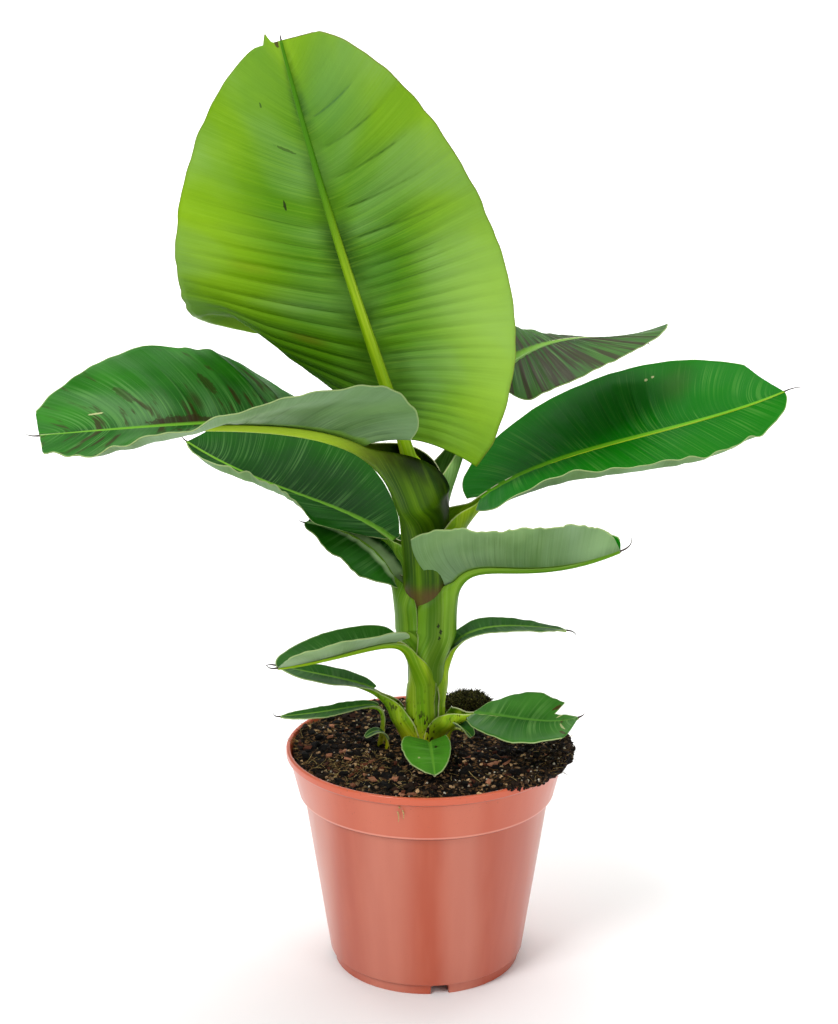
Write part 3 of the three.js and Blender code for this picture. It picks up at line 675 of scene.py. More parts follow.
class Spine:
    """The midrib's curve, by distance along it, in the leaf's own plane."""

    STEPS = 200

    def __init__(self, leaf):
        lean = math.radians(leaf["lean"])
        self.out = compass(leaf["heading"])
        level = compass(leaf["heading"] - 90)
        self.up = UP * math.cos(lean) + level * math.sin(lean)
        self.right = level * math.cos(lean) - UP * math.sin(lean)
        self.root = leaf["spine"][0][1]
        self.controls = [Vector(point) for point in leaf["spine"]]
        points = [self.curve(step / self.STEPS) for step in range(self.STEPS + 1)]
        self.marks = [0.0]
        for before, after in zip(points, points[1:]):
            self.marks.append(self.marks[-1] + (after - before).length)
        self.length = self.marks[-1]
        self.start = leaf["start"] * self.length
        self.rib = leaf["rib"]

    def curve(self, t):
        a, b, c, d = self.controls
        return (a * (1 - t) ** 3 + b * 3 * t * (1 - t) ** 2
                + c * 3 * t * t * (1 - t) + d * t ** 3)

    def slope(self, t):
        a, b, c, d = self.controls
        rise = (b - a) * (1 - t) ** 2 + (c - b) * 2 * t * (1 - t) + (d - c) * t * t
        return rise.normalized()

    def at(self, distance):
        """Point, direction and upper side at a distance along the midrib."""
        inside = min(max(distance, 0), self.length)
        step = min(self.search(inside), self.STEPS - 1)
        span = self.marks[step + 1] - self.marks[step]
        t = (step + (inside - self.marks[step]) / span) / self.STEPS
        flat, slope = self.curve(t), self.slope(t)
        flat = flat + slope * (distance - inside)
        point = UP * self.root + self.out * flat.x + self.up * (flat.y - self.root)
        along = self.out * slope.x + self.up * slope.y
        upper = self.up * slope.x - self.out * slope.y
        return point, along, upper

    def search(self, distance):
        low, high = 0, self.STEPS
        while high - low > 1:
            middle = (low + high) // 2
            if self.marks[middle] <= distance:
                low = middle
            else:
                high = middle
        return low

    def rib_radius(self, distance):
        root, base = self.rib
        if distance < self.start:
            return blend(root, base, max(distance, 0) / self.start)
        rest = min((distance - self.start) / (self.length - self.start), 1)
        return blend(base, RIB_TIP, rest ** 0.9)


def through(values, v):
    """A smooth curve through a value at the base, the middle and the tip."""
    base, middle, tip = values
    return base * (1 - v) * (1 - 2 * v) + middle * 4 * v * (1 - v) + tip * v * (2 * v - 1)


def outline(leaf, side, v):
    """Width of half a blade at v, from 0 at its base to 1 at its tip."""
    shoulder, widest = leaf["shoulder"][side], leaf["widest"][side]
    if v < widest:
        rounded = 1 - leaf["lobe"] * (1 - min(v / LOBE_REACH, 1)) ** 2
        return (shoulder + (1 - shoulder) * math.sin(v / widest * math.pi / 2)) * rounded
    fall = (v - widest) / (1 - widest)
    return max(1 - fall ** leaf["blunt"][side], 0) ** 0.8


def crease(phase):
    """The section of a pleat: sharp at its top, 1, and round at its bottom, -1."""
    return 1 - 2 * abs(math.sin(phase)) ** 0.8


def pleats(leaf, side, t, v, foot, seed):
    """Height of the pleats, which fade at the midrib, the margin and the tip."""
    _, *pitches = leaf["pleats"]
    phase = 2 * math.pi * foot / (pitches[min(side, len(pitches) - 1)] * MM)
    phase += 2.5 * noise.noise(Vector((foot * 45, side * 5, seed)))
    inner = smooth(0.02, 0.16, t) * (1 - 0.8 * smooth(0.5, 1, t))
    inner *= 1 - 0.85 * smooth(0.5, 0.75, v)
    return crease(phase / 2) * inner


def broad_ridges(leaf, side, t, v, foot):
    """Height of the broad ridges across the middle of the left half."""
    _, pitch = leaf["ridges"]
    rise = crease(math.pi * (foot + t * 8 * MM) / (pitch * MM))
    rise *= smooth(0.04, 0.2, t) * (1 - side)
    return rise * (smooth(0.32, 0.5, v) * (1 - smooth(0.8, 0.95, v))
                   * (1 - 0.7 * smooth(0.5, 1, t)))


def margin_wave(leaf, side, v, seed):
    *_, count = leaf["waves"]
    wave = noise.noise(Vector((v * count, side * 7.3, seed)))
    return wave + 0.5 * noise.noise(Vector((v * count * 2.7, side * 3.1, seed + 5)))


def veer(leaf, side, t, v):
    """How far a hook or a kinked base edge takes a vein past its place, in millimetres."""
    further = 0
    hook_side, hook_at, hook_half, hook_height = leaf["hook"]
    if side == hook_side:
        further += hook_height * max(1 - abs(v - hook_at) / hook_half, 0) * t ** 8
    kink_side, kink_at, kink_rise, kink_drop = leaf["kink"]
    if side == kink_side:
        risen = kink_rise * max(1 - abs(t - kink_at) / KINK_REACH, 0)
        risen -= kink_drop * smooth(0.88, 1, t)
        further += risen * (1 - smooth(0, 0.35, v))
    return further


def blade(name, leaf, spine, skins):
    """The two halves of the blade, with pleats, a waved margin and a channelled midrib."""
    blade_length = spine.length - spine.start
    seed = leaf["heading"] * 0.37

    def shape(across, along):
        side, sign, t = (0, -1, -across) if across < 0 else (1, 1, across)
        t = t ** RIB_CROWD
        v = 1 - (1 - along) ** TIP_CROWD
        tear = noise.noise(Vector((v * 26, side * 9, seed))) * leaf["torn"]
        width = leaf["width"][side] * outline(leaf, side, v) * (1 + tear)
        nick_side, nick_from, nick_left = leaf["nick"]
        if side == nick_side and v > nick_from:
            width *= nick_left
        sweep = leaf["sweep"][side] * (1 - v) ** 3 + FORWARD * v ** 1.5
        foot = spine.start + v * blade_length
        reach = min(foot + width * sweep * t ** leaf["bow"][side], spine.length)
        point, _, upper = spine.at(reach + veer(leaf, side, t, v) * MM)
        out = width * t
        pleat = pleats(leaf, side, t, v, foot, seed)
        broad = broad_ridges(leaf, side, t, v, foot)
        wave = margin_wave(leaf, side, v, seed)
        waves = 2 * leaf["waves"][side] * wave * t ** 3
        waves *= smooth(0, 0.1, v) * (1 - smooth(0.9, 1, v))
        rolled = leaf["roll"][side] * smooth(0.8, 1, t) ** 1.5 * smooth(0.02, 0.2, v)
        rolled *= (1 - smooth(0.7, 0.92, v)) * (1 + 0.6 * wave)
        radius = spine.rib_radius(foot)
        share = min(out / radius, 1)
        channel = blend(0.8, 0.3, smooth(0, 0.5, v)) * radius
        dip = channel * max(math.sqrt(1 - share * share) - RIB_DROP, 0)
        pleat_depth, ridge_depth = leaf["pleats"][0], leaf["ridges"][0]
        rise = (pleat_depth * pleat + ridge_depth * broad + waves + rolled) * MM - dip
        bend = math.radians(through(leaf["lift"][side], v))
        point = point + spine.right * (sign * out * math.cos(bend))
        point = point + upper * (out * math.sin(bend) + rise)
        fold = max(pleat, broad) if ridge_depth else pleat
        return point, (sign * out, foot), width - out, out / radius, fold

    grid = LONG_GRID if spine.length > LONG_MIDRIB else SHORT_GRID
    piece = finish_piece(sheet_mesh(*grid, shape), name + "_blade", skins, [name])
    thicken(piece, BLADE_THICKNESS, rim_material=2, under_material=1)


def girth(height):
    above = height - STEM_FOOT
    for (low, before), (high, after) in zip(GIRTH, GIRTH[1:]):
        if above <= high:
            return blend(before, after, smooth(low, high, max(above, 0)))
    return GIRTH[-1][1]


def held_radius(sheath, height):
    """Radius at which a sheath lies round the stem, under the older ones."""
    bare = smooth(sheath.bare - 16 * MM, sheath.bare + 4 * MM, height)
    return girth(height) - sheath.buried * MM * (1 - bare)


def limb_stations(sheath, spine):
    """Sections of one limb, from its sheath's foot to the leaf's tip.  A section is an
    arc that opens to the leaf's upper side: its lowest point, the way it faces, its
    radius and half its opening, in degrees."""
    stations = []
    if sheath:
        outward = compass(sheath.face)
        count = max(int((spine.root - sheath.foot) / PITCH), 2)
        for step in range(count):
            height = blend(sheath.foot, spine.root, step / count)
            radius = held_radius(sheath, height)
            stations.append((AXIS + UP * height + outward * radius, outward, radius,
                             sheath.wrap))
    count = int(spine.length / PITCH)
    for step in range(count + 1):
        distance = spine.length * step / count
        point, _, upper = spine.at(distance)
        radius = spine.rib_radius(distance)
        under = point - upper * radius * (1 + RIB_DROP)
        if not sheath:
            stations.append((under, -upper, radius, CHANNEL))
            continue
        share = distance / spine.start
        freed = smooth(*sheath.opens, share)
        held = held_radius(sheath, under.z)
        clear = (under - AXIS).dot(spine.out) - held
        apart = max(smooth(-1 * MM, 6 * MM, clear) * smooth(0, 0.5, share), freed)
        turned = outward.lerp(-upper, apart).normalized()
        low = (AXIS + UP * under.z + outward * held).lerp(under, apart)
        flared = held + 0.5 * apart * max(clear, 0)
        stations.append((low, turned, blend(flared, radius, freed),
                         blend(sheath.wrap, CHANNEL, freed)))
    return stations


def arc_sheet(stations, columns):
    """The sheet that runs through the stations' arcs."""
    lows = [station[0] for station in stations]
    last = len(stations) - 1
    travelled = [0.0]
    for before, after in zip(lows, lows[1:]):
        travelled.append(travelled[-1] + (after - before).length)

    def shape(across, along):
        row = round(along * last)
        low, outward, radius, opening = stations[row]
        tangent = (lows[min(row + 1, last)] - lows[max(row - 1, 0)]).normalized()
        outward = (outward - tangent * outward.dot(tangent)).normalized()
        aside = tangent.cross(outward)
        angle = math.radians(opening) * across
        point = low - outward * radius
        point = point + outward * (radius * math.cos(angle)) + aside * (radius * math.sin(angle))
        edge = radius * math.radians(opening) * (1 - abs(across))
        return point, (radius * angle, travelled[row]), edge

    return sheet_mesh(columns, last, shape)


def limb(name, leaf, spine, materials):
    """Sheath, petiole and midrib in one: a channel that narrows to a rib."""
    bm = arc_sheet(limb_stations(leaf["sheath"], spine), LIMB_COLUMNS)
    bmesh.ops.recalc_face_normals(bm, faces=bm.faces)
    piece = finish_piece(bm, name + "_limb", materials, [name])
    thicken(piece, LIMB_THICKNESS, rim_material=1)


def rod(stations, columns):
    """A closed rod through round sections."""
    bm = arc_sheet(stations, columns)
    bmesh.ops.holes_fill(bm, edges=bm.edges)
    bmesh.ops.recalc_face_normals(bm, faces=bm.faces)
    return bm


def thread(name, leaf, spine, material):
    """The dry thread at the leaf's tip, which curls up or down."""
    point, along, upper = spine.at(spine.length)
    stations = []
    for step in range(THREAD_STEPS + 1):
        share = step / THREAD_STEPS
        radius = max(RIB_TIP * (1 - share) ** 0.7, 0.02 * MM)
        stations.append((point - upper * radius, -upper, radius, 180))
        along = (along + upper * (THREAD_CURL * leaf["turn"] * share)).normalized()
        upper = (upper - along * upper.dot(along)).normalized()
        point = point + along * (leaf["thread"] * 1.15 / THREAD_STEPS)
    finish_piece(rod(stations, THREAD_COLUMNS), name + "_thread", [material], [name])


LIMB_COLUMNS = 24
CORE_STEPS = 40
CORE_COLUMNS = 40
THREAD_STEPS = 12
THREAD_COLUMNS = 8
THREAD_CURL = 0.16  # of its direction, by its last step


def grow_leaves():
    uppers = blade_finishes("upper", BLADE_UPPERS)
    unders = blade_finishes("under", BLADE_UNDERS)
    edge = plain_finish("pale_leaf_margin", tint(168, 192, 120), 0.5)
    young_edge = plain_finish("brown_leaf_margin", tint(136, 142, 66), 0.5)
    limbs = {kind: skin_finish(kind) for kind in LIMB_SKINS}
    sheath_edge = plain_finish("pale_sheath_margin", tint(206, 212, 160), 0.5)
    dry = plain_finish("dry_thread", tint(62, 46, 34), 0.8)
    core(limbs["stem_core_skin"])
    for name, own in LEAVES.items():
        leaf = {**COMMON_LEAF, **own}
        spine = Spine(leaf)
        upper, under = leaf["skins"]
        skins = (uppers[upper], unders[under], young_edge if upper == "young" else edge)
        blade(name, leaf, spine, skins)
        limb(name, leaf, spine, (limbs[leaf["limb"]], sheath_edge))
        if leaf["thread"]:
            thread(name, leaf, spine, dry)


def core(skin):
    """The core of the pseudostem, between the sheaths."""
    stations = []
    for step in range(CORE_STEPS + 1):
        height = blend(STEM_FOOT, STEM_TOP, step / CORE_STEPS)
        radius = girth(height) - CORE_DEPTH
        low = AXIS + UP * height + compass(270) * radius
        stations.append((low, compass(270), radius, 180))
    finish_piece(rod(stations, CORE_COLUMNS), "stem_core", [skin], ["pseudostem"])


# ---------------- pot

NOTCH_COUNT = 4
NOTCH_FIRST = 278
NOTCH_HEIGHT = 5.4 * MM
RING_TOP = 6.2 * MM
SPIN_STEPS = 272
NOTCH_COLUMNS = 4  # columns of the spin on each side of its middle
NOTCH_SLOPE = 0.5 * MM  # how much lower its top is at its sides
NOTCH_PULL = 0.85  # share of a column that closes in on its sides
DRAIN_COUNT = 6
DRAIN_CIRCLE = 0.037
DRAIN_RADIUS = 0.004
RING_INNER = 0.0515  # radius inside which the foot ring isn't cut
FLOOR_TOP = 7 * MM  # the raised floor lies below this


def spun(corners, rounds):
    """A closed wall turned about the Z axis.  corners is its section, (radius, height)
    in millimetres, and rounds maps a bevel in millimetres to the corners that take it."""
    bm = bmesh.new()
    verts = [bm.verts.new((r * MM, 0, z * MM)) for r, z in corners]
    bm.faces.new(verts)
    for size, chosen in rounds.items():
        bmesh.ops.bevel(bm, geom=[verts[i] for i in chosen], offset=size * MM,
                        affect="VERTICES", segments=4, profile=0.5, material=-1)
    bmesh.ops.delete(bm, geom=list(bm.faces), context="FACES_ONLY")
    on_axis = [e for e in bm.edges if all(abs(v.co.x) < MM / 100 for v in e.verts)]
    bmesh.ops.delete(bm, geom=on_axis, context="EDGES")
    turn = math.radians(NOTCH_FIRST)
    bmesh.ops.rotate(bm, verts=bm.verts, cent=(0, 0, 0), matrix=Matrix.Rotation(turn, 3, "Z"))
    bmesh.ops.spin(bm, geom=bm.verts[:] + bm.edges[:], cent=(0, 0, 0), axis=(0, 0, 1),
                   angle=2 * math.pi, steps=SPIN_STEPS, use_merge=True)
    bmesh.ops.remove_doubles(bm, verts=bm.verts, dist=0.005 * MM)
    bmesh.ops.recalc_face_normals(bm, faces=bm.faces)
    return bm


# The pot's section, (radius, height) in millimetres: outside from its middle up to the lip,
# then down the inside.  POT_ROUNDS maps a rounding to the corners that take it.
POT_SECTION = (
    (0, 0), (20, 0), (22, 4), (51.7, 4), (52.5, 0), (57, 0), (57, 6.2), (59.5, 7),
    (74.5, 107.7), (76.7, 108.1), (77.5, 108.9), (83, 131.7), (85, 132.5), (85, 137),
    (82.6, 137), (81.8, 132.5), (76.3, 110.5), (73.3, 106.5), (58.3, 8.8), (50.5, 5.8),
    (22, 5.8), (20, 1.8), (0, 1.8),
)
POT_ROUNDS = {0.4: range(1, 8), 0.35: (9, 10), 0.9: range(11, 15), 0.8: (8, 15, 16, 17)}


def pot():
    """The moulded pot: lip, collar, tapered body and a foot ring cut by four notches."""
    bm = spun(POT_SECTION, POT_ROUNDS)
    cut_notches(bm)
    cut_drains(bm)
    finish_piece(bm, "pot_shell", [pot_finish()], ["pot"])


def cut_notches(bm):
    column = 360 / SPIN_STEPS
    for vert in bm.verts:
        radius = vert.co.xy.length
        if vert.co.z > RING_TOP or radius < RING_INNER:
            continue
        angle = math.degrees(math.atan2(vert.co.y, vert.co.x)) - NOTCH_FIRST
        spacing = 360 / NOTCH_COUNT
        offset = (angle + spacing / 2) % spacing - spacing / 2
        place = abs(round(offset / column))
        if place <= NOTCH_COLUMNS:
            lift = NOTCH_HEIGHT - (NOTCH_SLOPE if place == NOTCH_COLUMNS else 0)
            vert.co.z += (RING_TOP - vert.co.z) / RING_TOP * lift
        elif place == NOTCH_COLUMNS + 1:
            back = math.radians(-NOTCH_PULL * column * math.copysign(1, offset))
            vert.co = Matrix.Rotation(back, 3, "Z") @ vert.co


def cut_drains(bm):
    """Holes through the raised floor, walled from its underside to its inside."""
    for i in range(DRAIN_COUNT):
        centre = compass(360 / DRAIN_COUNT * i) * DRAIN_CIRCLE
        inside = [face for face in bm.faces if face.calc_center_median().z < FLOOR_TOP
                  and (face.calc_center_median().xy - centre.xy).length < DRAIN_RADIUS]
        bmesh.ops.delete(bm, geom=inside, context="FACES")
        rims = [edge for edge in bm.edges if edge.is_boundary]
        for vert in {vert for edge in rims for vert in edge.verts}:
            spoke = vert.co.xy - centre.xy
            vert.co.xy = centre.xy + spoke * (DRAIN_RADIUS / spoke.length)
        bmesh.ops.bridge_loops(bm, edges=rims)


# Painted highlights: soft upright bands of painted reflection on the plastic.
# Each is a place along X, half width and strength.
POT_HIGHLIGHT_BANDS = ((-0.024, 0.024, 0.36), (0.02, 0.017, 0.36), (-0.064, 0.014, 0.4), (0.07, 0.014, 0.3))
# Where the collar starts, and the fine painted lines: painted shade in the groove under the
# collar, a painted highlight along its edge, a dark line at the foot ring's step and a
# painted shadow below the lip: height, colour and strength.
COLLAR_LOW = 0.1082
POT_SHADE_AND_HIGHLIGHT_LINES = (
    (0.1074, tint(104, 40, 28), 0.75), (0.1093, tint(236, 166, 148), 0.5),
    (0.0064, tint(104, 40, 28), 0.7), (0.1318, tint(132, 56, 40), 0.5),
)
LIP_FADE = (5.5 * MM, 3.5 * MM)  # below the pot's top


def pot_finish():
    look = Finish("terracotta_plastic", roughness=0.3, specular=0.5, coat=0.15)
    place = look.place()
    aside, height = look.axis(place, 0), look.axis(place, 2)
    drag = look.noise(place, (110, 110, 4))
    look.base(look.step(drag, 0.3, 0.8, 0, 0.3), tint(178, 76, 46), tint(200, 108, 80))
    # painted highlights: soft upright bands of reflection
    for middle, half, share in POT_HIGHLIGHT_BANDS:
        look.over(look.step(look.off(aside, middle), half * 0.2, half, share, 0),
                  tint(218, 148, 128))
    look.over(look.step(height, COLLAR_LOW, COLLAR_LOW + 1 * MM, 0, 0.45), tint(212, 100, 66))
    lip_low, lip_high = (POT_HEIGHT - below for below in LIP_FADE)
    look.over(look.step(height, lip_low, lip_high, 0, 0.8), tint(206, 92, 58))
    # painted shade under the collar and the lip, a painted highlight on the collar's edge
    for level, shade, share in POT_SHADE_AND_HIGHLIGHT_LINES:
        look.over(look.step(look.off(height, level), 0.25 * MM, 0.8 * MM, share, 0), shade)
    specks = look.noise(place, 900, detail=1)
    dusty = look.step(height, POT_HEIGHT - 30 * MM, POT_HEIGHT, 0.1, 0.6)
    look.over(look.times(look.step(specks, 0.72, 0.76), dusty), tint(120, 66, 46))
    look.rough(look.step(drag, 0.3, 0.8, 0.28, 0.36))
    return look.done(look.noise(place, (36, 36, 3), detail=1), 0.15 * MM)


# ---------------- soil

HEAP_FROM = -58  # compass angles of the heap on the rim
HEAP_TO = 22
HEAP_RISE = 5 * MM
BACK_RISE = 2.5 * MM
HEAP_ZONE = (0.056, 0.074)  # radii between which the heap rises
BACK_ZONE = (0.05, 0.076)  # and the soil at the back of the pot
BACK_TURN = (70, 110)  # compass angles over which the back rises
SOIL_WALL = 0.0775  # radius from which the soil is at its edge's level
LITTER_EDGE = 0.0795  # radius within which the litter lies
SOIL_GRID = 230
# Radius and height of the skirt that closes the soil down the inside of the pot.
SOIL_SKIRT = ((0.0755, 0.11), (0.0727, 0.106), (0.0577, 0.0095), (0.0505, 0.0064))


def fractal(x, y, size, seed):
    return noise.noise(Vector((x / (size * MM), y / (size * MM), seed)))


def heaped(angle):
    """Share of the heap at a compass angle: 1 in the middle of its sweep."""
    share = (angle - HEAP_FROM) / (HEAP_TO - HEAP_FROM)
    return math.sin(math.pi * share) ** 0.6 if 0 < share < 1 else 0


def ground(x, y):
    """Height of the soil: level at the stem, lumpy and a little lower at the wall, and
    heaped against the right and the back of the rim."""
    radius = math.hypot(x, y)
    angle = math.degrees(math.atan2(y, x))
    outward = smooth(SOIL_SEAT, SOIL_WALL, radius)
    height = blend(SOIL_LEVEL, SOIL_EDGE, outward)
    height += HEAP_RISE * heaped(angle) * smooth(*HEAP_ZONE, radius)
    height += BACK_RISE * smooth(*BACK_TURN, angle) * smooth(*BACK_ZONE, radius)
    lumps = 2.2 * fractal(x, y, 15, 1) + 1.8 * fractal(x, y, 6, 2) + 1.2 * fractal(x, y, 2.4, 3)
    return height + lumps * MM * blend(0.6, 1, outward)


def soil_bed():
    """The soil: a lumpy surface, closed by a skirt down the inside of the pot."""
    bm = bmesh.new()
    bmesh.ops.create_grid(bm, x_segments=SOIL_GRID, y_segments=SOIL_GRID,
                          size=SOIL_RADIUS * 1.02)
    outside = [v for v in bm.verts if v.co.xy.length > SOIL_RADIUS]
    bmesh.ops.delete(bm, geom=outside, context="VERTS")
    for vert in bm.verts:
        if vert.is_boundary:
            vert.co.xy *= SOIL_RADIUS / vert.co.xy.length
        vert.co.z = ground(vert.co.x, vert.co.y)
    edges = [edge for edge in bm.edges if edge.is_boundary]
    for radius, height in SOIL_SKIRT:
        extruded = bmesh.ops.extrude_edge_only(bm, edges=edges)["geom"]
        edges = [item for item in extruded if isinstance(item, bmesh.types.BMEdge)]
        for vert in {vert for edge in edges for vert in edge.verts}:
            vert.co.xy *= radius / vert.co.xy.length
            vert.co.z = height
    bmesh.ops.holes_fill(bm, edges=edges)
    bmesh.ops.recalc_face_normals(bm, faces=bm.faces)
    finish_piece(bm, "soil_bed", [soil_finish()], ["soil"])


def soil_finish():
    look = Finish("damp_peat", roughness=0.95, specular=0.15)
    place = look.place()
    crumbs = look.noise(place, 430, detail=4)
    look.base(look.step(crumbs, 0.46, 0.72), tint(5, 3, 2), tint(142, 104, 68))
    look.over(look.step(look.noise(place, 90, detail=3), 0.42, 0.62, 0, 0.8), tint(12, 8, 5))
    return look.done(crumbs, 2.4 * MM)


class Litter:
    """Many small solids, joined into one mesh, each with a shade of its own."""

    def __init__(self, seed):
        self.dice = random.Random(seed)
        self.points, self.faces, self.shades = [], [], []

    def add(self, points, faces, shade):
        first = len(self.points)
        self.points.extend(points)
        self.faces.extend([[first + corner for corner in face] for face in faces])
        self.shades.extend([shade] * len(points))

    def crumb(self, solid, place, size, shade, rough):
        """A small solid, turned at random and knocked out of shape."""
        dice = self.dice
        turn = Matrix.Rotation(dice.uniform(0, 6.28), 3, "Z")
        turn = turn @ Matrix.Rotation(dice.uniform(-0.7, 0.7), 3, "X")
        points = []
        corners, faces = solid
        for corner in corners:
            scaled = Vector(a * b for a, b in zip(corner, size))
            points.append(place + turn @ scaled * dice.uniform(1 - rough, 1 + rough))
        self.add(points, faces, shade)

    def fibre(self, place, heading, length, radius, bend, shade):
        """A bent straw that starts at a place."""
        aside = heading.orthogonal().normalized()
        third = heading.cross(aside).normalized()
        points = []
        for x, y, z in STRAW[0]:
            share = z + 0.5
            middle = place + heading * (length * share) + bend * (length * share * share)
            points.append(middle + (aside * x + third * y) * radius)
        self.add(points, STRAW[1], shade)

    def piece(self, name, material, slot="potting_soil", node="soil"):
        mesh = bpy.data.meshes.new(name)
        mesh.from_pydata(self.points, [], self.faces)
        shade = mesh.attributes.new("shade", "FLOAT", "POINT")
        shade.data.foreach_set("value", self.shades)
        bm = bmesh.new()
        bm.from_mesh(mesh)
        bpy.data.meshes.remove(mesh)
        finish_piece(bm, name, [material], [node], shade_smooth=False)


def form(make, **options):
    """Corners and faces of a small shape that a bmesh operator makes."""
    bm = bmesh.new()
    make(bm, **options)
    corners = [tuple(vert.co) for vert in bm.verts]
    faces = [[vert.index for vert in face.verts] for face in bm.faces]
    bm.free()
    return corners, faces


def straw(bm):
    bmesh.ops.create_cone(bm, cap_ends=True, segments=4, radius1=1, radius2=0.5, depth=1)
    sides = [edge for edge in bm.edges if abs(edge.verts[0].co.z - edge.verts[1].co.z) > 0.5]
    bmesh.ops.subdivide_edges(bm, edges=sides, cuts=5, use_grid_fill=True)
    bm.verts.index_update()


GRAIN = form(bmesh.ops.create_icosphere, subdivisions=1, radius=1)
LUMP = form(bmesh.ops.create_icosphere, subdivisions=2, radius=1)
CHIP = form(bmesh.ops.create_cube, size=2)
STRAW = form(straw)


def litter_finish(name, *shades):
    """Bits of many shades, dark at 0, middling at 0.5 and light at 1."""
    dark, middle, light = (tint(*shade) for shade in shades)
    look = Finish(name, roughness=0.85, specular=0.2)
    shade = look.attribute("shade")
    grain = look.noise(look.place(), 1400)
    look.base(look.step(shade, 0.0, 0.5), dark, middle)
    look.over(look.step(shade, 0.5, 1.0), light)
    look.over(look.step(grain, 0.35, 0.7, 0.5, 0), dark)
    return look.done(grain, 0.2 * MM)


def on_soil(dice, inner, outer=LITTER_EDGE, first=0, last=360):
    """A place on the soil, anywhere in a ring between two radii and two angles."""
    radius = math.sqrt(dice.uniform(inner ** 2, outer ** 2))
    angle = math.radians(dice.uniform(first, last))
    x, y = radius * math.cos(angle), radius * math.sin(angle)
    return Vector((x, y, ground(x, y)))


# How many there are of each kind of litter.
CRUMB_COUNT = 1500
LUMP_COUNT = 260
SPILL_COUNT = 700
CHIP_COUNT = 120
GRAIN_COUNT = 360


def crumbs():
    """Peat crumbs, bark chips and pale grains on the soil and on the heap."""
    peat = Litter(11)
    dice = peat.dice
    for _ in range(CRUMB_COUNT):
        size = dice.uniform(0.5, 1.5) * MM
        stretch = (size * dice.uniform(1, 1.6), size, size * 0.7)
        peat.crumb(GRAIN, on_soil(dice, 0.015), stretch, dice.random() ** 2.2, 0.35)
    for _ in range(LUMP_COUNT):
        size = dice.uniform(1.2, 2.8) * MM
        place = on_soil(dice, 0.03)
        peat.crumb(LUMP, place, (size * 1.3, size, size * 0.8), 0.5 * dice.random() ** 2, 0.24)
    for _ in range(SPILL_COUNT):
        place = on_heap(dice)
        size = dice.uniform(0.4, 1.5) * MM
        peat.crumb(GRAIN, place, (size * 1.4, size, size), dice.uniform(0, 0.6), 0.35)
    peat.piece("peat_crumbs", litter_finish("peat_crumb", (6, 4, 3), (44, 29, 18),
                                            (236, 190, 140)))
    bark = Litter(23)
    dice = bark.dice
    for _ in range(CHIP_COUNT):
        size = dice.uniform(0.9, 2.6) * MM
        place = on_soil(dice, 0.03) + UP * 0.6 * MM
        bark.crumb(CHIP, place, (size, size * dice.uniform(0.4, 0.8), 0.6 * MM),
                   dice.uniform(0, 1) ** 1.5, 0.25)
    bark.piece("bark_chips", litter_finish("bark_chip", (34, 18, 12), (104, 54, 34),
                                           (208, 142, 108)))
    pale = Litter(37)
    dice = pale.dice
    for _ in range(GRAIN_COUNT):
        size = dice.uniform(0.25, 0.8) * MM
        place = on_soil(dice, 0.02) if dice.random() < 0.75 else on_heap(dice)
        pale.crumb(GRAIN, place + UP * size, (size, size, size), dice.uniform(0, 1), 0.3)
    pale.piece("pale_grains", litter_finish("pale_grain", (110, 92, 66), (186, 172, 146),
                                            (228, 222, 206)))


def on_heap(dice):
    """A place on the outside of the heap, and on the rim near it."""
    angle = blend(HEAP_FROM, HEAP_TO, dice.betavariate(1.6, 1.6))
    across = dice.random()
    return heap_place(angle, across)


# The section of the heap over the rim, (outward from the rim, up from its top) in mm.
HEAP_SECTION = (
    (-10, -4), (-7, 1), (-3.5, 3.6), (0, 4.6), (3, 3.6), (5, 1.4), (5.4, -1.2),
    (3.6, -3.4), (1, -4),
)
RIM_MIDDLE = 0.0832


def heap_place(angle, across):
    span = across * (len(HEAP_SECTION) - 1)
    before = min(int(span), len(HEAP_SECTION) - 2)
    outward, up = (blend(a, b, span - before)
                   for a, b in zip(HEAP_SECTION[before], HEAP_SECTION[before + 1]))
    share = heaped(angle)
    spoke = compass(angle)
    place = spoke * RIM_MIDDLE + UP * POT_HEIGHT
    lumpy = 1 + 0.5 * noise.noise(place * 160 + Vector((0, 0, across * 4)))
    size = MM * share * lumpy
    return place + spoke * (outward * size) + UP * (up * size - 0.6 * MM * (1 - share))


def heap():
    """The soil that spills over the rim."""
    bm = bmesh.new()
    bmesh.ops.create_grid(bm, x_segments=110, y_segments=24, size=1.0)
    for vert in bm.verts:
        angle = blend(HEAP_FROM, HEAP_TO, (vert.co.x + 1) / 2)
        place = heap_place(angle, (vert.co.y + 1) / 2)
        rough = noise.noise(place / (1.7 * MM)) * 0.7 * MM + noise.noise(place / (4 * MM)) * MM
        outward = place - compass(angle) * RIM_MIDDLE - UP * POT_HEIGHT
        vert.co = place + outward.normalized() * rough
    bmesh.ops.recalc_face_normals(bm, faces=bm.faces)
    peat = bpy.data.materials["damp_peat"]
    finish_piece(bm, "soil_heap", [peat], ["soil"])


# Strands on the pot below its lip: compass angle, millimetres below its top, and drop.
HANGING_STRANDS = ((257, 5, -1), (259, 6, 0.4), (260.5, 8, 1.2), (258.5, 9, 1.4))


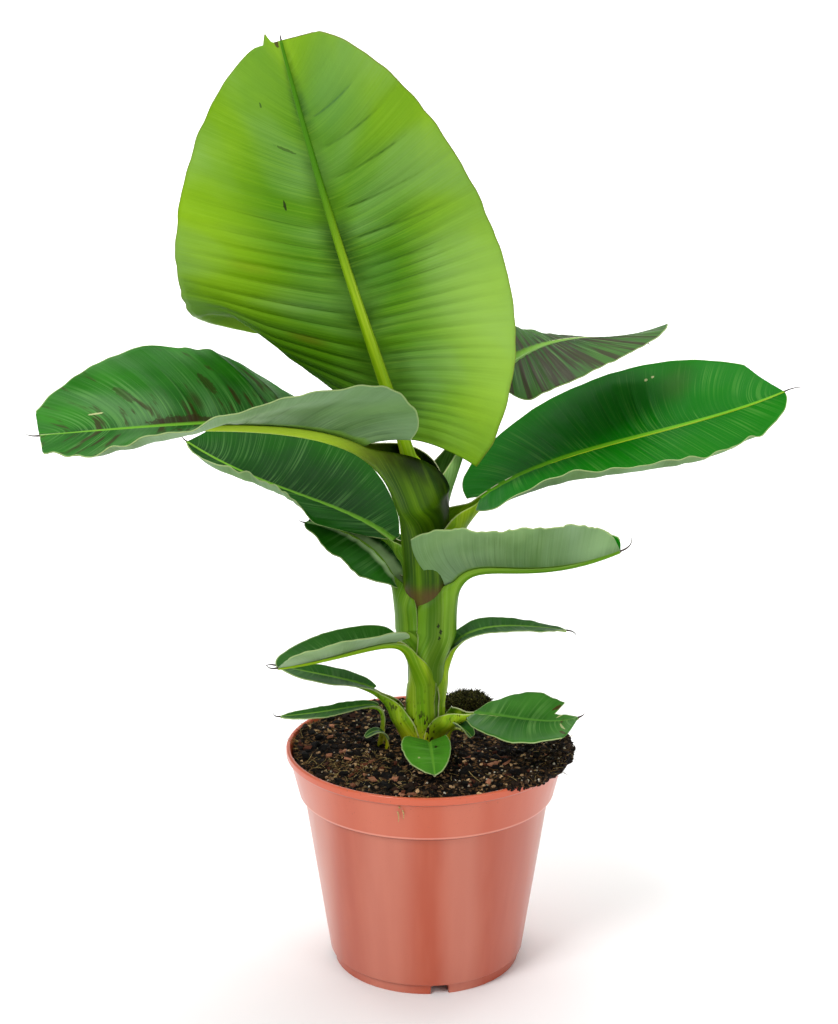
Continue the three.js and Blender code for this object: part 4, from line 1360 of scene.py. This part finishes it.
def fibres():
    """Straws and root hairs in the soil, on the rim and below the lip."""
    straws = Litter(51)
    dice = straws.dice

    def lay(place, low, high, rise, shade):
        heading = compass(dice.uniform(0, 360)) + UP * dice.uniform(-0.1, rise)
        bend = compass(dice.uniform(0, 360)) * dice.uniform(0, 0.7) - UP * dice.uniform(0, 0.4)
        straws.fibre(place + UP * 0.8 * MM, heading, dice.uniform(low, high) * MM,
                     dice.uniform(0.1, 0.24) * MM, bend, shade)

    for _ in range(340):
        lay(on_soil(dice, 0.02), 2, 6, 0.3, dice.random())
    for _ in range(200):
        lay(on_soil(dice, 0.035, 0.072, 200, 236), 1.5, 4, 0.9, dice.uniform(0.5, 1))
    for _ in range(230):
        lay(on_heap(dice), 2, 6, 0.6, dice.random() ** 1.5)
    for _ in range(60):
        lay(on_soil(dice, 0.074, 0.08, 150, 215), 3, 8, 0.9, dice.random())
    for _ in range(40):
        lay(on_soil(dice, 0.04, 0.07, 235, 262), 2, 6, 0.7, 0.8)
    root = on_soil(dice, 0.045, 0.047, 300, 302)
    straws.fibre(root, compass(272) + UP * 0.1, 22 * MM, 0.25 * MM,
                 compass(20) * 0.3 - UP * 0.12, 1)
    for turn, down, drop in HANGING_STRANDS:
        place = compass(turn) * (POT_RIM - 1.6 * MM) + UP * (POT_HEIGHT - down * MM)
        straws.fibre(place, compass(turn + 90) * 0.5 - UP * drop, 4.5 * MM, 0.5 * MM,
                     compass(turn + 90) * -0.4, 1)
    straws.piece("soil_fibres", litter_finish("soil_fibre", (40, 24, 14), (116, 84, 40),
                                              (196, 172, 112)))


def moss():
    """A bumpy clump of moss with short leaflets."""
    low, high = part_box("moss_clump")
    middle = (Vector(low) + Vector(high)) / 2
    half = (Vector(high) - Vector(low)) / 2
    bm = bmesh.new()
    bmesh.ops.create_icosphere(bm, subdivisions=5, radius=1.0)
    for vert in bm.verts:
        spot = vert.co * 2.1
        size = 0.9 + (0.16 * noise.noise(spot) + 0.1 * noise.noise(spot * 3)
                      + 0.06 * noise.noise(spot * 8))
        vert.co = middle + Vector(a * b * size for a, b in zip(vert.co, half))
    bm.normal_update()
    sprigs = Litter(71)
    dice = sprigs.dice
    for vert in bm.verts:
        if dice.random() < 0.4 and vert.co.z > middle.z - half.z * 0.5:
            lean = Vector((dice.uniform(-1, 1), dice.uniform(-1, 1), dice.uniform(-0.3, 1)))
            heading = (vert.normal + lean * 0.9).normalized()
            sprigs.fibre(vert.co.copy(), heading, dice.uniform(0.8, 2.4) * MM,
                         dice.uniform(0.15, 0.4) * MM, lean * 0.4, dice.random())
    finish_piece(bm, "moss_heart", [moss_heart_finish()], ["moss_clump"])
    green = litter_finish("moss_green", (14, 14, 6), (58, 60, 18), (128, 124, 60))
    sprigs.piece("moss_sprigs", green, "moss", "moss_clump")


def moss_heart_finish():
    look = Finish("moss_heart", roughness=0.95, specular=0.1)
    grain = look.noise(look.place(), 700, detail=3)
    look.base(look.step(grain, 0.35, 0.65), tint(10, 10, 4), tint(62, 58, 26))
    return look.done(grain, 0.8 * MM)


# ---------------- stage

FLOOR_HALF = 7  # half its width
FLOOR_FRONT = -5
FLOOR_DEPTH = 8  # from its front to the backdrop's sweep
SWEEP_RADIUS = 0.5
SWEEP_STEPS = 24
WALL = 0.5  # of the backdrop above its sweep
AIM = (0, 0, 0.28)  # the middle of the plant
# Place, aim, size and power of each softbox.
SOFTBOXES = {
    "key": ((-2.0, -2.4, 3.2), AIM, (1.4, 1.4), 95),
    "fill": ((2.4, -2.4, 1.4), AIM, (1.0, 2.0), 22),
    "top": ((0.3, 0.5, 3.4), AIM, (2.0, 2.0), 45),
    "backdrop": ((0, 1.6, 2.6), (0, 3.6, 0.3), (4.0, 1.0), 130),
}
WORLD_LIGHT = 0.4


def stage():
    """A pale floor that sweeps up into a backdrop."""
    bm = bmesh.new()
    front = [bm.verts.new((x, FLOOR_FRONT, 0)) for x in (-FLOOR_HALF, FLOOR_HALF)]
    edges = [bm.edges.new(front)]

    def run_on(step):
        grown = bmesh.ops.extrude_edge_only(bm, edges=edges)["geom"]
        edges[:] = [item for item in grown if isinstance(item, bmesh.types.BMEdge)]
        ends = [item for item in grown if isinstance(item, bmesh.types.BMVert)]
        bmesh.ops.translate(bm, verts=ends, vec=step)

    run_on((0, FLOOR_DEPTH, 0))
    for turn in range(SWEEP_STEPS):
        angle = math.radians(90) * (turn + 0.5) / SWEEP_STEPS
        chord = SWEEP_RADIUS * math.radians(90) / SWEEP_STEPS
        run_on((0, chord * math.cos(angle), chord * math.sin(angle)))
    run_on((0, 0, WALL))
    bmesh.ops.recalc_face_normals(bm, faces=bm.faces)
    mesh = bpy.data.meshes.new("floor")
    bm.to_mesh(mesh)
    bm.free()
    for polygon in mesh.polygons:
        polygon.use_smooth = True
    floor = bpy.data.objects.new("floor", mesh)
    look = Finish("plain_floor", roughness=0.9, specular=0.1)
    look.put(look.shader.inputs["Base Color"], tint(248, 248, 248))
    mesh.materials.append(look.material)
    bpy.context.scene.collection.objects.link(floor)


def softbox(name, place, target, size, power):
    data = bpy.data.lights.new(name, "AREA")
    data.shape = "RECTANGLE"
    data.size, data.size_y = size
    data.energy = power
    lamp = bpy.data.objects.new(name, data)
    bpy.context.scene.collection.objects.link(lamp)
    lamp.location = place
    aim = Vector(target) - Vector(place)
    lamp.rotation_euler = aim.to_track_quat("-Z", "Y").to_euler()


def light():
    world = bpy.data.worlds.new("studio")
    world.use_nodes = True
    background = world.node_tree.nodes["Background"]
    background.inputs["Color"].default_value = (1, 1, 1, 1)
    background.inputs["Strength"].default_value = WORLD_LIGHT
    bpy.context.scene.world = world
    for name, setting in SOFTBOXES.items():
        softbox(name, *setting)


def camera():
    data = bpy.data.cameras.new("camera")
    data.lens = LENS
    eye = bpy.data.objects.new("camera", data)
    eye.location = EYE
    eye.rotation_euler = (math.radians(90 - EYE_PITCH), 0, 0)
    bpy.context.scene.collection.objects.link(eye)
    bpy.context.scene.camera = eye


camera()
light()
stage()
pot()
soil_bed()
heap()
crumbs()
fibres()
moss()
grow_leaves()
bpy.context.scene.view_settings.view_transform = "Standard"
